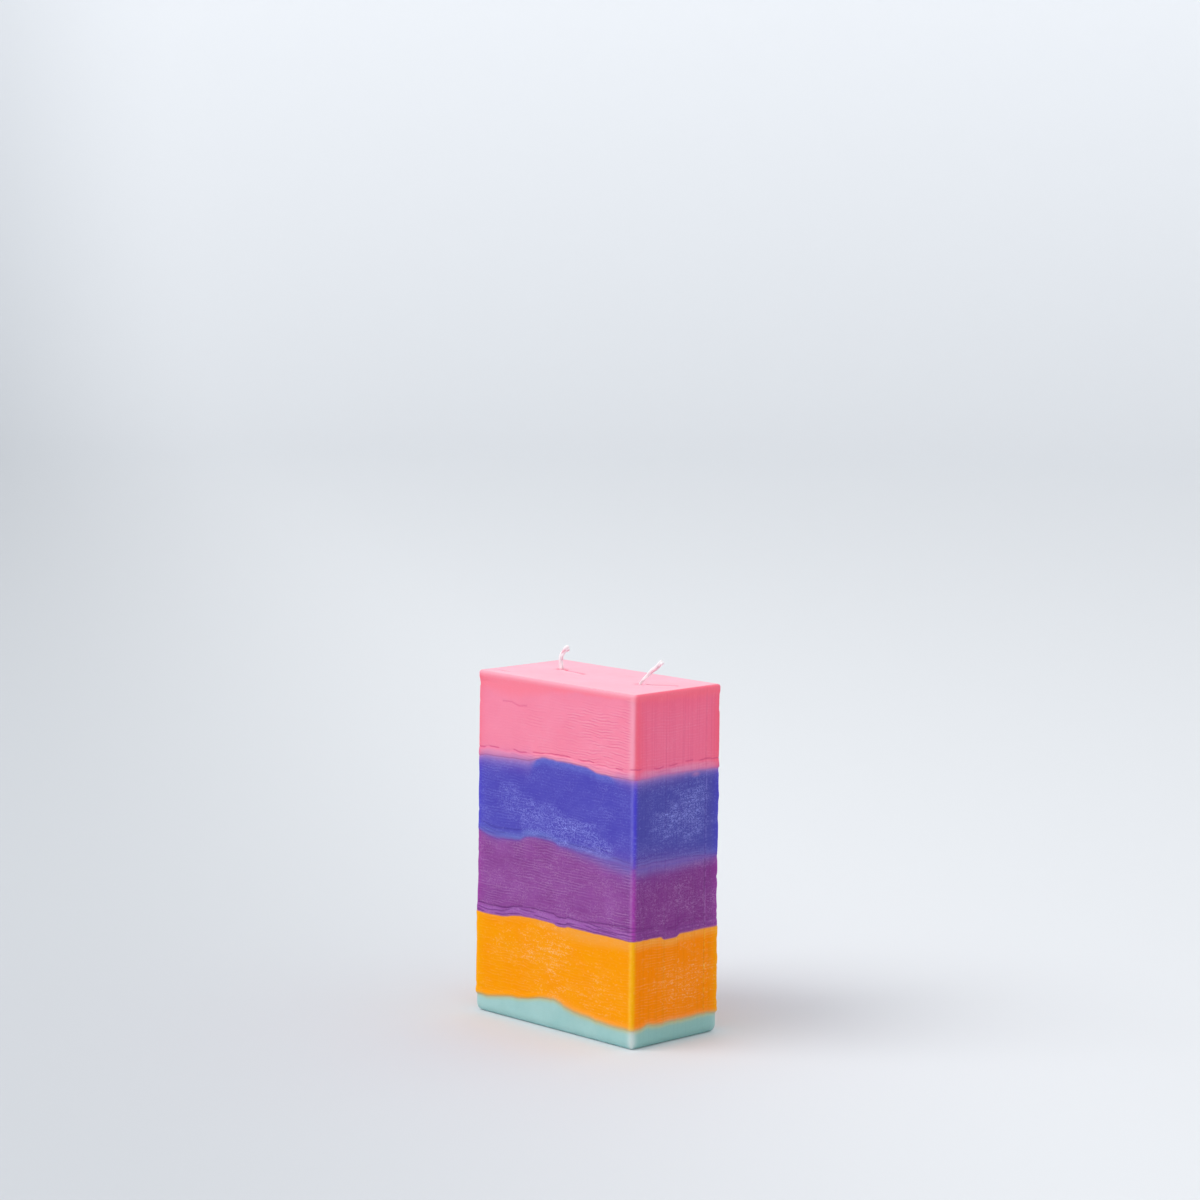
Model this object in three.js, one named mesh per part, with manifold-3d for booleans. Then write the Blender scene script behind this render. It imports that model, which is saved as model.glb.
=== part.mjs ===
import * as THREE from 'three';
import { mergeVertices } from 'three/addons/utils/BufferGeometryUtils.js';
import Module from 'manifold-3d';

// Two-wick block candle, cast in five pours of coloured wax.
// Millimetres, +Z up. The origin is the middle of the base, the length runs along X,
// and the long front wall faces -Y.
// It is cast upside down, pink first and mint last, so the top is crisp and the base is round.

// Block
const lengthAtBase = 97.5;
const depthAtBase = 51.5;
const draftPerSide = 0.5;
const uprightEdgeRadius = 1.6;
const topEdgeRadius = 1.2;
const baseRoundWidth = 2.2;
const baseRoundHeight = 4;
const leastCornerRadius = 0.5;
const topDish = 0.3;

// Height of each pour where its seam runs level
const mintHeight = 7.4;
const orangeHeight = 38.7;
const purpleHeight = 30.7;
const blueHeight = 35.8;
const pinkHeight = 37.4;

// Each pour sinks in its middle as it sets, and the next one fills the hollow
const pourSink = 3;

// Lip along the lower edge of a pour: how far it stands proud and how tall it is,
// with a crease above it
const orangeLip = { proud: 0.35, tall: 3 };
const purpleLip = { proud: 0.3, tall: 4 };
const blueLip = { proud: 0.1, tall: 3 };
const pinkLip = { proud: 0.3, tall: 2.4 };
const creaseDepth = 0.15;

// Rim round the top, where the wax stands proud of the wall below it
const topRim = { proud: 0.3, tall: 4.6, step: 2.2 };

// The most of a pour's wall that the base round or a lip may take up
const roundShareOfWall = 0.8;
const lipShareOfWall = 0.5;

// Waves of the seams, one entry for each swelling of the lower pour.
// along and across give its place as shares of half the length and half the depth. rise is its
// height and reach how far it runs, as shares of half the length. The power shapes its crown:
// at roundPower it falls evenly, and at the others it stays level and then drops more steeply.
const roundPower = 2;
const levelPower = 4;
const steepPower = 8;
const mintWaves = [
  { along: -0.07, across: -1, rise: 0.105, reach: 0.351, power: roundPower },
  { along: -0.56, across: -1, rise: 0.027, reach: 0.144, power: roundPower },
  { along: 0.07, across: -1, rise: 0.014, reach: 0.072, power: steepPower },
  { along: 0.47, across: -1, rise: 0.016, reach: 0.124, power: roundPower },
  { along: 1, across: 0.37, rise: 0.029, reach: 1.031, power: roundPower },
  { along: 1, across: -0.65, rise: 0.016, reach: 0.054, power: roundPower },
  { along: 0.3, across: 1, rise: 0.049, reach: 0.309, power: roundPower },
  { along: -0.62, across: 1, rise: 0.033, reach: 0.227, power: roundPower },
];
const orangeWaves = [
  { along: -0.81, across: -1, rise: -0.043, reach: 0.278, power: levelPower },
  { along: -0.18, across: -1, rise: 0.007, reach: 0.231, power: levelPower },
  { along: 0.1, across: -1, rise: -0.012, reach: 0.072, power: steepPower },
  { along: 1, across: -0.14, rise: -0.028, reach: 0.099, power: steepPower },
  { along: -0.25, across: 1, rise: 0.033, reach: 0.33, power: levelPower },
  { along: 0.6, across: 1, rise: -0.027, reach: 0.186, power: roundPower },
];
const purpleWaves = [
  { along: -0.19, across: -1, rise: 0.033, reach: 0.223, power: steepPower },
  { along: -0.05, across: -1, rise: 0.07, reach: 0.668, power: roundPower },
  { along: -1, across: -1, rise: 0.068, reach: 0.134, power: roundPower },
  { along: 0.4, across: 1, rise: 0.054, reach: 0.371, power: roundPower },
  { along: -0.6, across: 1, rise: -0.025, reach: 0.247, power: levelPower },
];
const blueWaves = [
  { along: -0.12, across: -1, rise: 0.033, reach: 0.901, power: roundPower },
  { along: 0.11, across: -1, rise: 0.043, reach: 0.373, power: steepPower },
  { along: -0.09, across: -1, rise: 0.008, reach: 0.097, power: steepPower },
  { along: 1, across: 0.18, rise: 0.041, reach: 0.81, power: roundPower },
  { along: -1, across: -1, rise: -0.021, reach: 0.049, power: roundPower },
  { along: -0.3, across: 1, rise: 0.037, reach: 0.351, power: levelPower },
  { along: 0.62, across: 1, rise: -0.029, reach: 0.206, power: roundPower },
];

// Wicks of round braided cotton, trimmed just inside the base
const wickDiameter = 2.1;
const wickGap = 0.3;
const wickFromEnd = 21.75;
const wickTrim = 0.3;
const wickTipFlare = 1.25;
const wickTipRound = 0.7;

// Each wick's end lay along the floor of the mould and was lifted out after casting, so it
// left a groove. grooveTurn points along the groove, and leanTurn the way the stub leans.
// The stub's points give how far along its lean and how high above the wax it passes.
const leftWick = {
  side: -1,
  offCentre: 3.6,
  grooveTurn: THREE.MathUtils.degToRad(-7.5),
  leanTurn: THREE.MathUtils.degToRad(40),
  stub: [[-0.4, 2.3], [-0.5, 4.4], [-0.1, 6.2], [0.7, 7.9], [1.8, 9.1], [3.2, 9.3]],
};
const rightWick = {
  side: 1,
  offCentre: -1.4,
  grooveTurn: THREE.MathUtils.degToRad(32),
  leanTurn: THREE.MathUtils.degToRad(28.5),
  stub: [[0.7, 1.1], [2.4, 3.1], [4.1, 4.9], [5.8, 6.5], [7.9, 8.4], [10.1, 10.4]],
};
const grooveLength = 18;
const grooveWidth = 1.4;
const grooveDepth = 0.8;
const dimpleRadius = 3;
const dimpleDepth = 0.6;
const toolOverrun = 1;

// Facets
const longSideSteps = 24;
const shortSideSteps = 12;
const cornerSteps = 3;
const roundSteps = 4;
const innerRingShares = [0.62, 0.28];
const wickSides = 12;
const stubSteps = 22;

const seamLevels = [0];
for (const height of [mintHeight, orangeHeight, purpleHeight, blueHeight, pinkHeight]) {
  seamLevels.push(seamLevels.at(-1) + height);
}
const bodyHeight = seamLevels.at(-1);
const halfLengthAt = (z) => lengthAtBase / 2 - draftPerSide * (z / bodyHeight);
const halfDepthAt = (z) => depthAtBase / 2 - draftPerSide * (z / bodyHeight);

// Plan outline, a rectangle with rounded corners, as stations in counter-clockwise order.
// A station holds its share along both straight sides and the way the wall faces there.
function planStations() {
  const stations = [];
  const corners = [[1, -1], [1, 1], [-1, 1], [-1, -1]];
  corners.forEach(([along, across], corner) => {
    const startAngle = (corner - 1) * Math.PI / 2;
    for (let step = 0; step <= cornerSteps; step += 1) {
      const angle = startAngle + (step / cornerSteps) * Math.PI / 2;
      stations.push({ along, across, faceX: Math.cos(angle), faceY: Math.sin(angle) });
    }
    const [nextAlong, nextAcross] = corners[(corner + 1) % corners.length];
    const sideSteps = along === nextAlong ? shortSideSteps : longSideSteps;
    const faceX = (along + nextAlong) / 2;
    const faceY = (across + nextAcross) / 2;
    for (let step = 1; step < sideSteps; step += 1) {
      const share = step / sideSteps;
      stations.push({
        along: THREE.MathUtils.lerp(along, nextAlong, share),
        across: THREE.MathUtils.lerp(across, nextAcross, share),
        faceX,
        faceY,
      });
    }
  });
  return stations;
}
const stations = planStations();

// Point of the wall at a station and height, moved out of the wall by proud. The corners stay
// round where an inset outgrows them.
function wallPoint(station, z, proud = 0) {
  const cornerRadius = Math.max(uprightEdgeRadius + proud, leastCornerRadius);
  const straightX = halfLengthAt(z) + proud - cornerRadius;
  const straightY = halfDepthAt(z) + proud - cornerRadius;
  return new THREE.Vector3(
    station.along * straightX + station.faceX * cornerRadius,
    station.across * straightY + station.faceY * cornerRadius,
    z,
  );
}

// Height of a seam where it meets the wall
function seamHeight(level, waves, station) {
  const point = wallPoint(station, level);
  const halfLength = halfLengthAt(level);
  let z = level;
  for (const wave of waves) {
    const awayX = point.x - wave.along * halfLength;
    const awayY = point.y - wave.across * halfDepthAt(level);
    const away = Math.hypot(awayX, awayY) / (wave.reach * halfLength);
    z += wave.rise * halfLength * Math.exp(-(away ** wave.power));
  }
  return z;
}

// Triangles between two rings of equal count. They face out where the second ring lies above
// the first, and up where it lies inside it.
function band(ring, nextRing) {
  const triangles = [];
  ring.forEach((point, i) => {
    const j = (i + 1) % ring.length;
    triangles.push([point, ring[j], nextRing[j]]);
    triangles.push([point, nextRing[j], nextRing[i]]);
  });
  return triangles;
}

function fan(ring, centre) {
  return ring.map((point, i) => [point, ring[(i + 1) % ring.length], centre]);
}

function flipped(triangles) {
  return triangles.map(([a, b, c]) => [a, c, b]);
}

// Surface spanning a ring, facing up, drawn in ring by ring to a centre that stands higher by
// crown, or lower where crown is negative
function spannedSurface(rim, level, crown) {
  const centre = new THREE.Vector3(0, 0, level + crown);
  const triangles = [];
  let outer = rim;
  for (const share of innerRingShares) {
    const inner = rim.map((point) => new THREE.Vector3(
      point.x * share,
      point.y * share,
      level + (point.z - level) * share + crown * (1 - share ** 2),
    ));
    triangles.push(...band(outer, inner));
    outer = inner;
  }
  triangles.push(...fan(outer, centre));
  return triangles;
}

// One seam: its ring on the wall and the surface inside it, which both neighbours share
function makeSeam(level, waves) {
  const rim = stations.map((station) => wallPoint(station, seamHeight(level, waves, station)));
  return { rim, surface: spannedSurface(rim, level, pourSink) };
}

// Base of the block, flat inside a rounded edge
function makeBase() {
  const rim = stations.map((station) => wallPoint(station, 0, -baseRoundWidth));
  return { rim, surface: spannedSurface(rim, 0, 0) };
}

// Rings of the rounded edge that climbs from the base to the wall, at most to the wall's share
// that a round may take
function baseEdgeRings() {
  const rings = [];
  const height = Math.min(baseRoundHeight, mintHeight * roundShareOfWall);
  for (let step = 1; step <= roundSteps; step += 1) {
    const angle = (step / roundSteps) * Math.PI / 2;
    const z = height * (1 - Math.cos(angle));
    rings.push(stations.map((station) => wallPoint(station, z, -baseRoundWidth * (1 - Math.sin(angle)))));
  }
  return rings;
}

// Top of the block, slightly dished inside a small round
function makeTop() {
  const inset = topRim.proud - topEdgeRadius;
  const rim = stations.map((station) => wallPoint(station, bodyHeight, inset));
  return { rim, surface: spannedSurface(rim, bodyHeight, -topDish) };
}

// Rings that step out from the wall to the rim and climb it to its rounded edge
function topRimRings() {
  const foot = bodyHeight - topRim.tall;
  const rings = [
    stations.map((station) => wallPoint(station, foot, 0)),
    stations.map((station) => wallPoint(station, foot + topRim.step, topRim.proud)),
  ];
  for (let step = 0; step < roundSteps; step += 1) {
    const angle = (step / roundSteps) * Math.PI / 2;
    const z = bodyHeight - topEdgeRadius * (1 - Math.sin(angle));
    const proud = topRim.proud - topEdgeRadius * (1 - Math.cos(angle));
    rings.push(stations.map((station) => wallPoint(station, z, proud)));
  }
  return rings;
}

// Rings of a lip above a seam. heightShare runs from the seam to the crease and past it,
// and proudShare gives how much of the lip's overhang is reached there.
function lipRings(lip, seam, levelAbove) {
  const profile = [
    { heightShare: 0.1, proudShare: 0.75 },
    { heightShare: 0.35, proudShare: 1 },
    { heightShare: 0.8, proudShare: 0.6 },
  ];
  const ringAt = (heightShare, proud) => stations.map((station, i) => {
    const foot = seam.rim[i].z;
    const tall = Math.min(lip.tall, (levelAbove - foot) * lipShareOfWall);
    return wallPoint(station, foot + tall * heightShare, proud);
  });
  return [
    ...profile.map(({ heightShare, proudShare }) => ringAt(heightShare, lip.proud * proudShare)),
    ringAt(1, -creaseDepth),
    ringAt(1.25, 0),
  ];
}

function solidFrom(triangles) {
  const positions = triangles.flat().flatMap((point) => [point.x, point.y, point.z]);
  const geometry = new THREE.BufferGeometry();
  geometry.setAttribute('position', new THREE.Float32BufferAttribute(positions, 3));
  return mergeVertices(geometry, 1e-4);
}

// A pour of wax: the surface below, the wall ring by ring, and the surface above
function pourSolid(below, wallRings, above) {
  const rings = [below.rim, ...wallRings, above.rim];
  const wall = rings.slice(1).flatMap((ring, i) => band(rings[i], ring));
  return solidFrom([...flipped(below.surface), ...wall, ...above.surface]);
}

// Joins and cuts
const wasm = await Module();
wasm.setup();

function toManifold(geometry) {
  const bare = geometry.clone();
  bare.deleteAttribute('normal');
  bare.deleteAttribute('uv');
  const merged = mergeVertices(bare, 1e-4);
  return new wasm.Manifold(new wasm.Mesh({
    numProp: 3,
    vertProperties: Float32Array.from(merged.attributes.position.array),
    triVerts: Uint32Array.from(merged.index.array),
  }));
}

function fromManifold(solid) {
  const mesh = solid.getMesh();
  const geometry = new THREE.BufferGeometry();
  geometry.setAttribute('position', new THREE.BufferAttribute(mesh.vertProperties, 3));
  geometry.setIndex(new THREE.BufferAttribute(mesh.triVerts, 1));
  return geometry;
}

// Where a wick stands, and the height of the wax there
function wickPlace(wick) {
  const x = wick.side * (halfLengthAt(bodyHeight) - wickFromEnd);
  const share = Math.abs(x) / halfLengthAt(bodyHeight);
  return { x, y: wick.offCentre, z: bodyHeight - topDish * (1 - share ** 2) };
}

// Bore that a wick runs through, from under the base to above the top
function boreTool(wick) {
  const { x, y } = wickPlace(wick);
  const radius = wickDiameter / 2 + wickGap;
  const bore = new THREE.CylinderGeometry(radius, radius, bodyHeight + 2 * toolOverrun, wickSides);
  bore.rotateX(Math.PI / 2);
  bore.translate(x, y, bodyHeight / 2);
  return toManifold(bore);
}

// Dimple drawn into the wax round the foot of a wick
function dimpleTool(wick) {
  const { x, y, z } = wickPlace(wick);
  const bowl = new THREE.QuadraticBezierCurve(
    new THREE.Vector2(0, -dimpleDepth),
    new THREE.Vector2(dimpleRadius * 0.6, -dimpleDepth),
    new THREE.Vector2(dimpleRadius, 0),
  );
  const profile = [
    ...bowl.getPoints(roundSteps),
    new THREE.Vector2(dimpleRadius + toolOverrun, toolOverrun),
    new THREE.Vector2(0, toolOverrun),
  ];
  const dimple = new THREE.LatheGeometry(profile, 2 * wickSides);
  dimple.rotateX(Math.PI / 2);
  dimple.translate(x, y, z);
  return toManifold(dimple);
}

// Groove left by the wick's end, deepest at its foot and running out along its length
function grooveTool(wick) {
  const { x, y, z } = wickPlace(wick);
  const radius = grooveWidth / 2;
  const groove = new THREE.CylinderGeometry(radius, radius, grooveLength, wickSides);
  groove.rotateZ(-Math.PI / 2);
  groove.translate(grooveLength / 2, 0, radius - grooveDepth);
  groove.rotateY(-Math.atan2(grooveDepth, grooveLength));
  groove.rotateZ(wick.grooveTurn);
  groove.translate(x, y, z);
  return toManifold(groove);
}

// Wick: a round cord from the base up its bore, then the bent stub, flared at its cut tip
function wickGeometry(wick) {
  const { z: waxHeight } = wickPlace(wick);
  const curve = new THREE.CatmullRomCurve3([
    new THREE.Vector3(0, 0, waxHeight - 2 * wickDiameter),
    new THREE.Vector3(0, 0, waxHeight - wickDiameter),
    new THREE.Vector3(0, 0, waxHeight),
    ...wick.stub.map(([along, up]) => new THREE.Vector3(along, 0, waxHeight + up)),
  ], false, 'centripetal');
  const planeNormal = new THREE.Vector3(0, 1, 0);
  const ringAt = (centre, heading, radius) => {
    const side = new THREE.Vector3().crossVectors(planeNormal, heading);
    return Array.from({ length: wickSides }, (_, i) => {
      const angle = (i / wickSides) * 2 * Math.PI;
      return centre.clone()
        .addScaledVector(side, radius * Math.cos(angle))
        .addScaledVector(planeNormal, radius * Math.sin(angle));
    });
  };
  const radius = wickDiameter / 2;
  const up = new THREE.Vector3(0, 0, 1);
  const foot = new THREE.Vector3(0, 0, wickTrim);
  const rings = [ringAt(foot, up, radius)];
  for (let step = 0; step <= stubSteps; step += 1) {
    const share = step / stubSteps;
    const flare = THREE.MathUtils.smoothstep(share, 0.75, 0.95) * (wickTipFlare - 1);
    const end = step === stubSteps ? wickTipRound : 1;
    rings.push(ringAt(curve.getPointAt(share), curve.getTangentAt(share), radius * (1 + flare) * end));
  }
  const skin = rings.slice(1).flatMap((ring, i) => band(rings[i], ring));
  const ends = [...flipped(fan(rings[0], foot)), ...fan(rings.at(-1), curve.getPointAt(1))];
  return solidFrom([...skin, ...ends]);
}

// Finishes
const wax = (color, roughness) => new THREE.MeshStandardMaterial({ color, roughness, metalness: 0 });
const mintWax = wax(0x9ecac7, 0.5);
const orangeWax = wax(0xfb9f0c, 0.5);
const purpleWax = wax(0x934f9a, 0.5);
const blueWax = wax(0x5453b4, 0.5);
const pinkWax = wax(0xf889a5, 0.45);
const wickCotton = new THREE.MeshStandardMaterial({ color: 0xf6eef2, roughness: 0.85, metalness: 0 });

// Assembly
const base = makeBase();
const mintSeam = makeSeam(seamLevels[1], mintWaves);
const orangeSeam = makeSeam(seamLevels[2], orangeWaves);
const purpleSeam = makeSeam(seamLevels[3], purpleWaves);
const blueSeam = makeSeam(seamLevels[4], blueWaves);
const top = makeTop();

const wicks = [leftWick, rightWick];
const bores = wicks.map(boreTool);
const topCuts = wicks.flatMap((wick) => [dimpleTool(wick), grooveTool(wick)]);

const candle = new THREE.Group();

function addPour(name, geometry, material, cuts) {
  const cut = cuts.reduce((solid, tool) => solid.subtract(tool), toManifold(geometry));
  const pour = new THREE.Mesh(fromManifold(cut), material);
  pour.name = name;
  candle.add(pour);
}

function addWick(name, wick) {
  const { x, y } = wickPlace(wick);
  const cord = new THREE.Mesh(wickGeometry(wick), wickCotton);
  cord.name = name;
  cord.position.set(x, y, 0);
  cord.rotation.z = wick.leanTurn;
  candle.add(cord);
}

const orangeRings = lipRings(orangeLip, mintSeam, seamLevels[2]);
const purpleRings = lipRings(purpleLip, orangeSeam, seamLevels[3]);
const blueRings = lipRings(blueLip, purpleSeam, seamLevels[4]);
const pinkRings = [...lipRings(pinkLip, blueSeam, bodyHeight), ...topRimRings()];

addPour('mint_base_layer', pourSolid(base, baseEdgeRings(), mintSeam), mintWax, bores);
addPour('orange_layer', pourSolid(mintSeam, orangeRings, orangeSeam), orangeWax, bores);
addPour('purple_layer', pourSolid(orangeSeam, purpleRings, purpleSeam), purpleWax, bores);
addPour('blue_layer', pourSolid(purpleSeam, blueRings, blueSeam), blueWax, bores);
addPour('pink_top_layer', pourSolid(blueSeam, pinkRings, top), pinkWax, [...bores, ...topCuts]);
addWick('left_wick', leftWick);
addWick('right_wick', rightWick);

export default candle;
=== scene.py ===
import math

import bpy
import numpy as np
from mathutils import Matrix, Vector


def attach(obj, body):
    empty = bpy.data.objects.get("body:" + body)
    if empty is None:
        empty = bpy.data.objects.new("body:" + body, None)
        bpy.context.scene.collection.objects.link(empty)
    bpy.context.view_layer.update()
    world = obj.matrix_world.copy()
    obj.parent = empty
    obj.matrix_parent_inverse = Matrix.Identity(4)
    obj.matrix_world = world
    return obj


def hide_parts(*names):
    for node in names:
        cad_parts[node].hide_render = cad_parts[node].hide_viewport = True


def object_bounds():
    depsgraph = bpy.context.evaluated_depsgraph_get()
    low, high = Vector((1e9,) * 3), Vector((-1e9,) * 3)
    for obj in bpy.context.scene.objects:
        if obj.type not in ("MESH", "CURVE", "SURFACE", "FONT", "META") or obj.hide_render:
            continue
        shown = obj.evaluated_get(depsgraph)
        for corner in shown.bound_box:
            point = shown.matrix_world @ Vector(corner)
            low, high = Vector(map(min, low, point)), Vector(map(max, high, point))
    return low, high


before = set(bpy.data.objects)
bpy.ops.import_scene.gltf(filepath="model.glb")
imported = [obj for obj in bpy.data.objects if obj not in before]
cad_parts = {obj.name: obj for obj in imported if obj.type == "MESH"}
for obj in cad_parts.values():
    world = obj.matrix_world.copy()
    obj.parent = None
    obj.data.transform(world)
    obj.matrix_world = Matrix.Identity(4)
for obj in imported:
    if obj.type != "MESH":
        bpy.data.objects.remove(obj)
cad_low, cad_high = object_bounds()

# Two-wick block candle, cast upside down in five pours of coloured wax.
# Sizes are in millimetres and turn to metres where a mesh is made.
MM = 0.001

# Sizes repeated from the part's source
LENGTH_AT_BASE = 97.5
DEPTH_AT_BASE = 51.5
DRAFT_PER_SIDE = 0.5
EDGE_RADIUS = 1.6
TOP_EDGE_RADIUS = 1.2
TOP_RIM = {"proud": 0.3, "tall": 4.6, "step": 2.2}
BASE_ROUND_WIDTH = 2.2
BASE_ROUND_HEIGHT = 4
LEAST_CORNER_RADIUS = 0.5
TOP_DISH = 0.3
POUR_SINK = 3
# Heights of the base, the four seams and the top
LEVELS = np.cumsum([0, 7.4, 38.7, 30.7, 35.8, 37.4])
BODY_HEIGHT = LEVELS[-1]
INNER_RING_SHARES = (0.62, 0.28)
WICK_FROM_END = 21.75
WICK_TRIM = 0.3


def put(name, data):
    """Adds an object to the scene."""
    made = bpy.data.objects.new(name, data)
    bpy.context.scene.collection.objects.link(made)
    return made


# Camera of the photograph: lens and sensor, place, and turns in degrees

LENS, SENSOR = 103.64, 36
CAMERA_AT = (1045.87, -1018.47, 364.94)
CAMERA_YAW, CAMERA_PITCH, CAMERA_ROLL = (math.radians(a) for a in (45.751, 7.105, 0.666))
CAMERA_REACH = 20

camera = put("camera", bpy.data.cameras.new("camera"))
camera.data.lens = LENS
camera.data.sensor_width = SENSOR
camera.data.clip_end = CAMERA_REACH
ahead = Vector((-math.sin(CAMERA_YAW) * math.cos(CAMERA_PITCH),
                math.cos(CAMERA_YAW) * math.cos(CAMERA_PITCH), -math.sin(CAMERA_PITCH)))
level_right = Vector((math.cos(CAMERA_YAW), math.sin(CAMERA_YAW), 0))
level_up = level_right.cross(ahead)
right = math.cos(CAMERA_ROLL) * level_right + math.sin(CAMERA_ROLL) * level_up
up = math.cos(CAMERA_ROLL) * level_up - math.sin(CAMERA_ROLL) * level_right
turn = Matrix((right, up, -ahead)).transposed().to_4x4()
camera.matrix_world = Matrix.Translation(Vector(CAMERA_AT) * MM) @ turn
bpy.context.scene.camera = camera


# Shared sums

def smooth(value, start=0.0, end=1.0):
    """Eases from 0 at start to 1 at end."""
    share = np.clip((value - start) / (end - start), 0, 1)
    return share * share * (3 - 2 * share)


def bell(value, width):
    """1 at zero, falling to nearly 0 at twice the width either way."""
    return np.exp(-(value / width) ** 2)


def running_total(steps):
    """Sums of the steps so far, from zero on."""
    return np.concatenate([[0], np.cumsum(steps)])


def unit(vectors):
    """Rows of vectors, each of length 1."""
    return vectors / np.linalg.norm(vectors, axis=1)[:, None]


def turned(x, y, angle):
    """A place in plan, turned counter-clockwise."""
    return x * math.cos(angle) - y * math.sin(angle), x * math.sin(angle) + y * math.cos(angle)


def angles_round(count):
    return np.arange(count) / count * 2 * math.pi


def half_length(z):
    return LENGTH_AT_BASE / 2 - DRAFT_PER_SIDE * z / BODY_HEIGHT


def half_depth(z):
    return DEPTH_AT_BASE / 2 - DRAFT_PER_SIDE * z / BODY_HEIGHT


# How finely the spacing of the stations is summed up
GRADING_PLACES = 4001


def graded(half, coarse, fine, zones):
    """Shares of a straight wall from -1 to 1, set closer together inside the zones."""
    places = np.linspace(-half, half, GRADING_PLACES)
    spacing = np.full_like(places, coarse)
    for start, end in zones:
        spacing[(places >= start) & (places <= end)] = fine
    count = running_total(np.diff(places) / spacing[1:])
    even = np.linspace(0, count[-1], round(count[-1]) + 1)
    return np.interp(even, count, places) / half


# Plan outline of the block as stations, counter-clockwise from the near upright edge, closer
# together beside the wicks and their grooves
CORNER_STEPS = 6
STRAIGHT_HALF_LENGTH = 47.1
STRAIGHT_HALF_DEPTH = 24.1
LONG_SHARES = graded(STRAIGHT_HALF_LENGTH, coarse=0.65, fine=0.38, zones=[(-29, -8), (24, 43)])
SHORT_SHARES = graded(STRAIGHT_HALF_DEPTH, coarse=0.46, fine=0.3,
                      zones=[(-9, -7), (-5, 11), (15, 18)])
LONG_STEPS = len(LONG_SHARES) - 1
SHORT_STEPS = len(SHORT_SHARES) - 1
CORNERS = ((1, -1), (1, 1), (-1, 1), (-1, -1))


def plan_stations():
    rows = []
    for corner, (along, across) in enumerate(CORNERS):
        for step in range(CORNER_STEPS + 1):
            angle = (corner - 1 + step / CORNER_STEPS) * math.pi / 2
            rows.append((along, across, math.cos(angle), math.sin(angle)))
        next_along, next_across = CORNERS[(corner + 1) % 4]
        face = (along + next_along) / 2, (across + next_across) / 2
        if along == next_along:
            rows += [(along, share * next_across, *face) for share in SHORT_SHARES[1:-1]]
        else:
            rows += [(share * next_along, across, *face) for share in LONG_SHARES[1:-1]]
    return np.array(rows).T


ALONG, ACROSS, FACE_X, FACE_Y = plan_stations()
STATIONS = len(ALONG)
ON_LONG = FACE_Y ** 2
ON_END = FACE_X ** 2


def wall_points(z, proud):
    """Points of the wall at heights z, moved out of it by proud. Both are rows by stations."""
    radius = np.maximum(EDGE_RADIUS + proud, LEAST_CORNER_RADIUS)
    x = ALONG * (half_length(z) + proud - radius) + FACE_X * radius
    y = ACROSS * (half_depth(z) + proud - radius) + FACE_Y * radius
    return np.stack([x, y, z + 0 * x], axis=-1)


# How far along the wall each station is from the near upright edge: 0 to 50 is the right
# end, -96 to 0 the front, 50 to 147 the back and 147 to 197 the left end
plan_ring = wall_points(np.full(STATIONS, BODY_HEIGHT / 2), np.zeros(STATIONS))[:, :2]
plan_steps = np.linalg.norm(np.roll(plan_ring, -1, axis=0) - plan_ring, axis=1)
PERIMETER = plan_steps.sum()
CORNER_STATIONS = CORNER_STEPS // 2 + np.cumsum(
    [0, CORNER_STEPS + SHORT_STEPS, CORNER_STEPS + LONG_STEPS, CORNER_STEPS + SHORT_STEPS])
reached = running_total(plan_steps[:-1])
reached = (reached - reached[CORNER_STATIONS[0]]) % PERIMETER
CORNER_RUNS = reached[CORNER_STATIONS]
RUN = np.where(reached >= CORNER_RUNS[3], reached - PERIMETER, reached)

# Distance from the nearest upright edge, above 0 towards the end wall and below 0 towards the
# long wall
from_edges = np.array([
    ((reached - run + PERIMETER / 2) % PERIMETER - PERIMETER / 2) * (1 if corner % 2 == 0 else -1)
    for corner, run in enumerate(CORNER_RUNS)])
NEAREST_EDGE = np.abs(from_edges).argmin(axis=0)
FROM_EDGE = from_edges[NEAREST_EDGE, np.arange(STATIONS)]
BY_NEAR_EDGE = NEAREST_EDGE == 0


def blended(cells, across, upward):
    """Smooth value at a place counted in cells, which close round in their columns."""
    column, row = np.floor(across).astype(int), np.floor(upward).astype(int)
    s, t = smooth(across - column), smooth(upward - row)
    left, right = column % cells.shape[1], (column + 1) % cells.shape[1]
    low = cells[row, left] * (1 - s) + cells[row, right] * s
    high = cells[row + 1, left] * (1 - s) + cells[row + 1, right] * s
    return low * (1 - t) + high * t


def noise(seed, z, long, tall):
    """Smooth noise from -1 to 1 on the wall, its cells long by tall, closed round the block."""
    columns = max(round(PERIMETER / long), 3)
    rows = int(BODY_HEIGHT / tall) + 5
    cells = np.random.default_rng(seed).uniform(-1, 1, (rows, columns))
    return blended(cells, reached / PERIMETER * columns + 0 * z,
                   np.clip(z / tall + 1, 0, rows - 2))


def level_noise(seed, long):
    """The same noise along the wall at one height."""
    return noise(seed, np.zeros(STATIONS), long, BODY_HEIGHT)


def table(*pairs):
    """A value along the wall, from (run, value) pairs, closed round the block."""
    runs, values = zip(*pairs)
    return np.interp(RUN, runs, values, period=PERIMETER)


# Seams

# Powers that shape the crown of a wave
ROUND, LEVEL, STEEP = 2, 4, 8

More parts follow.
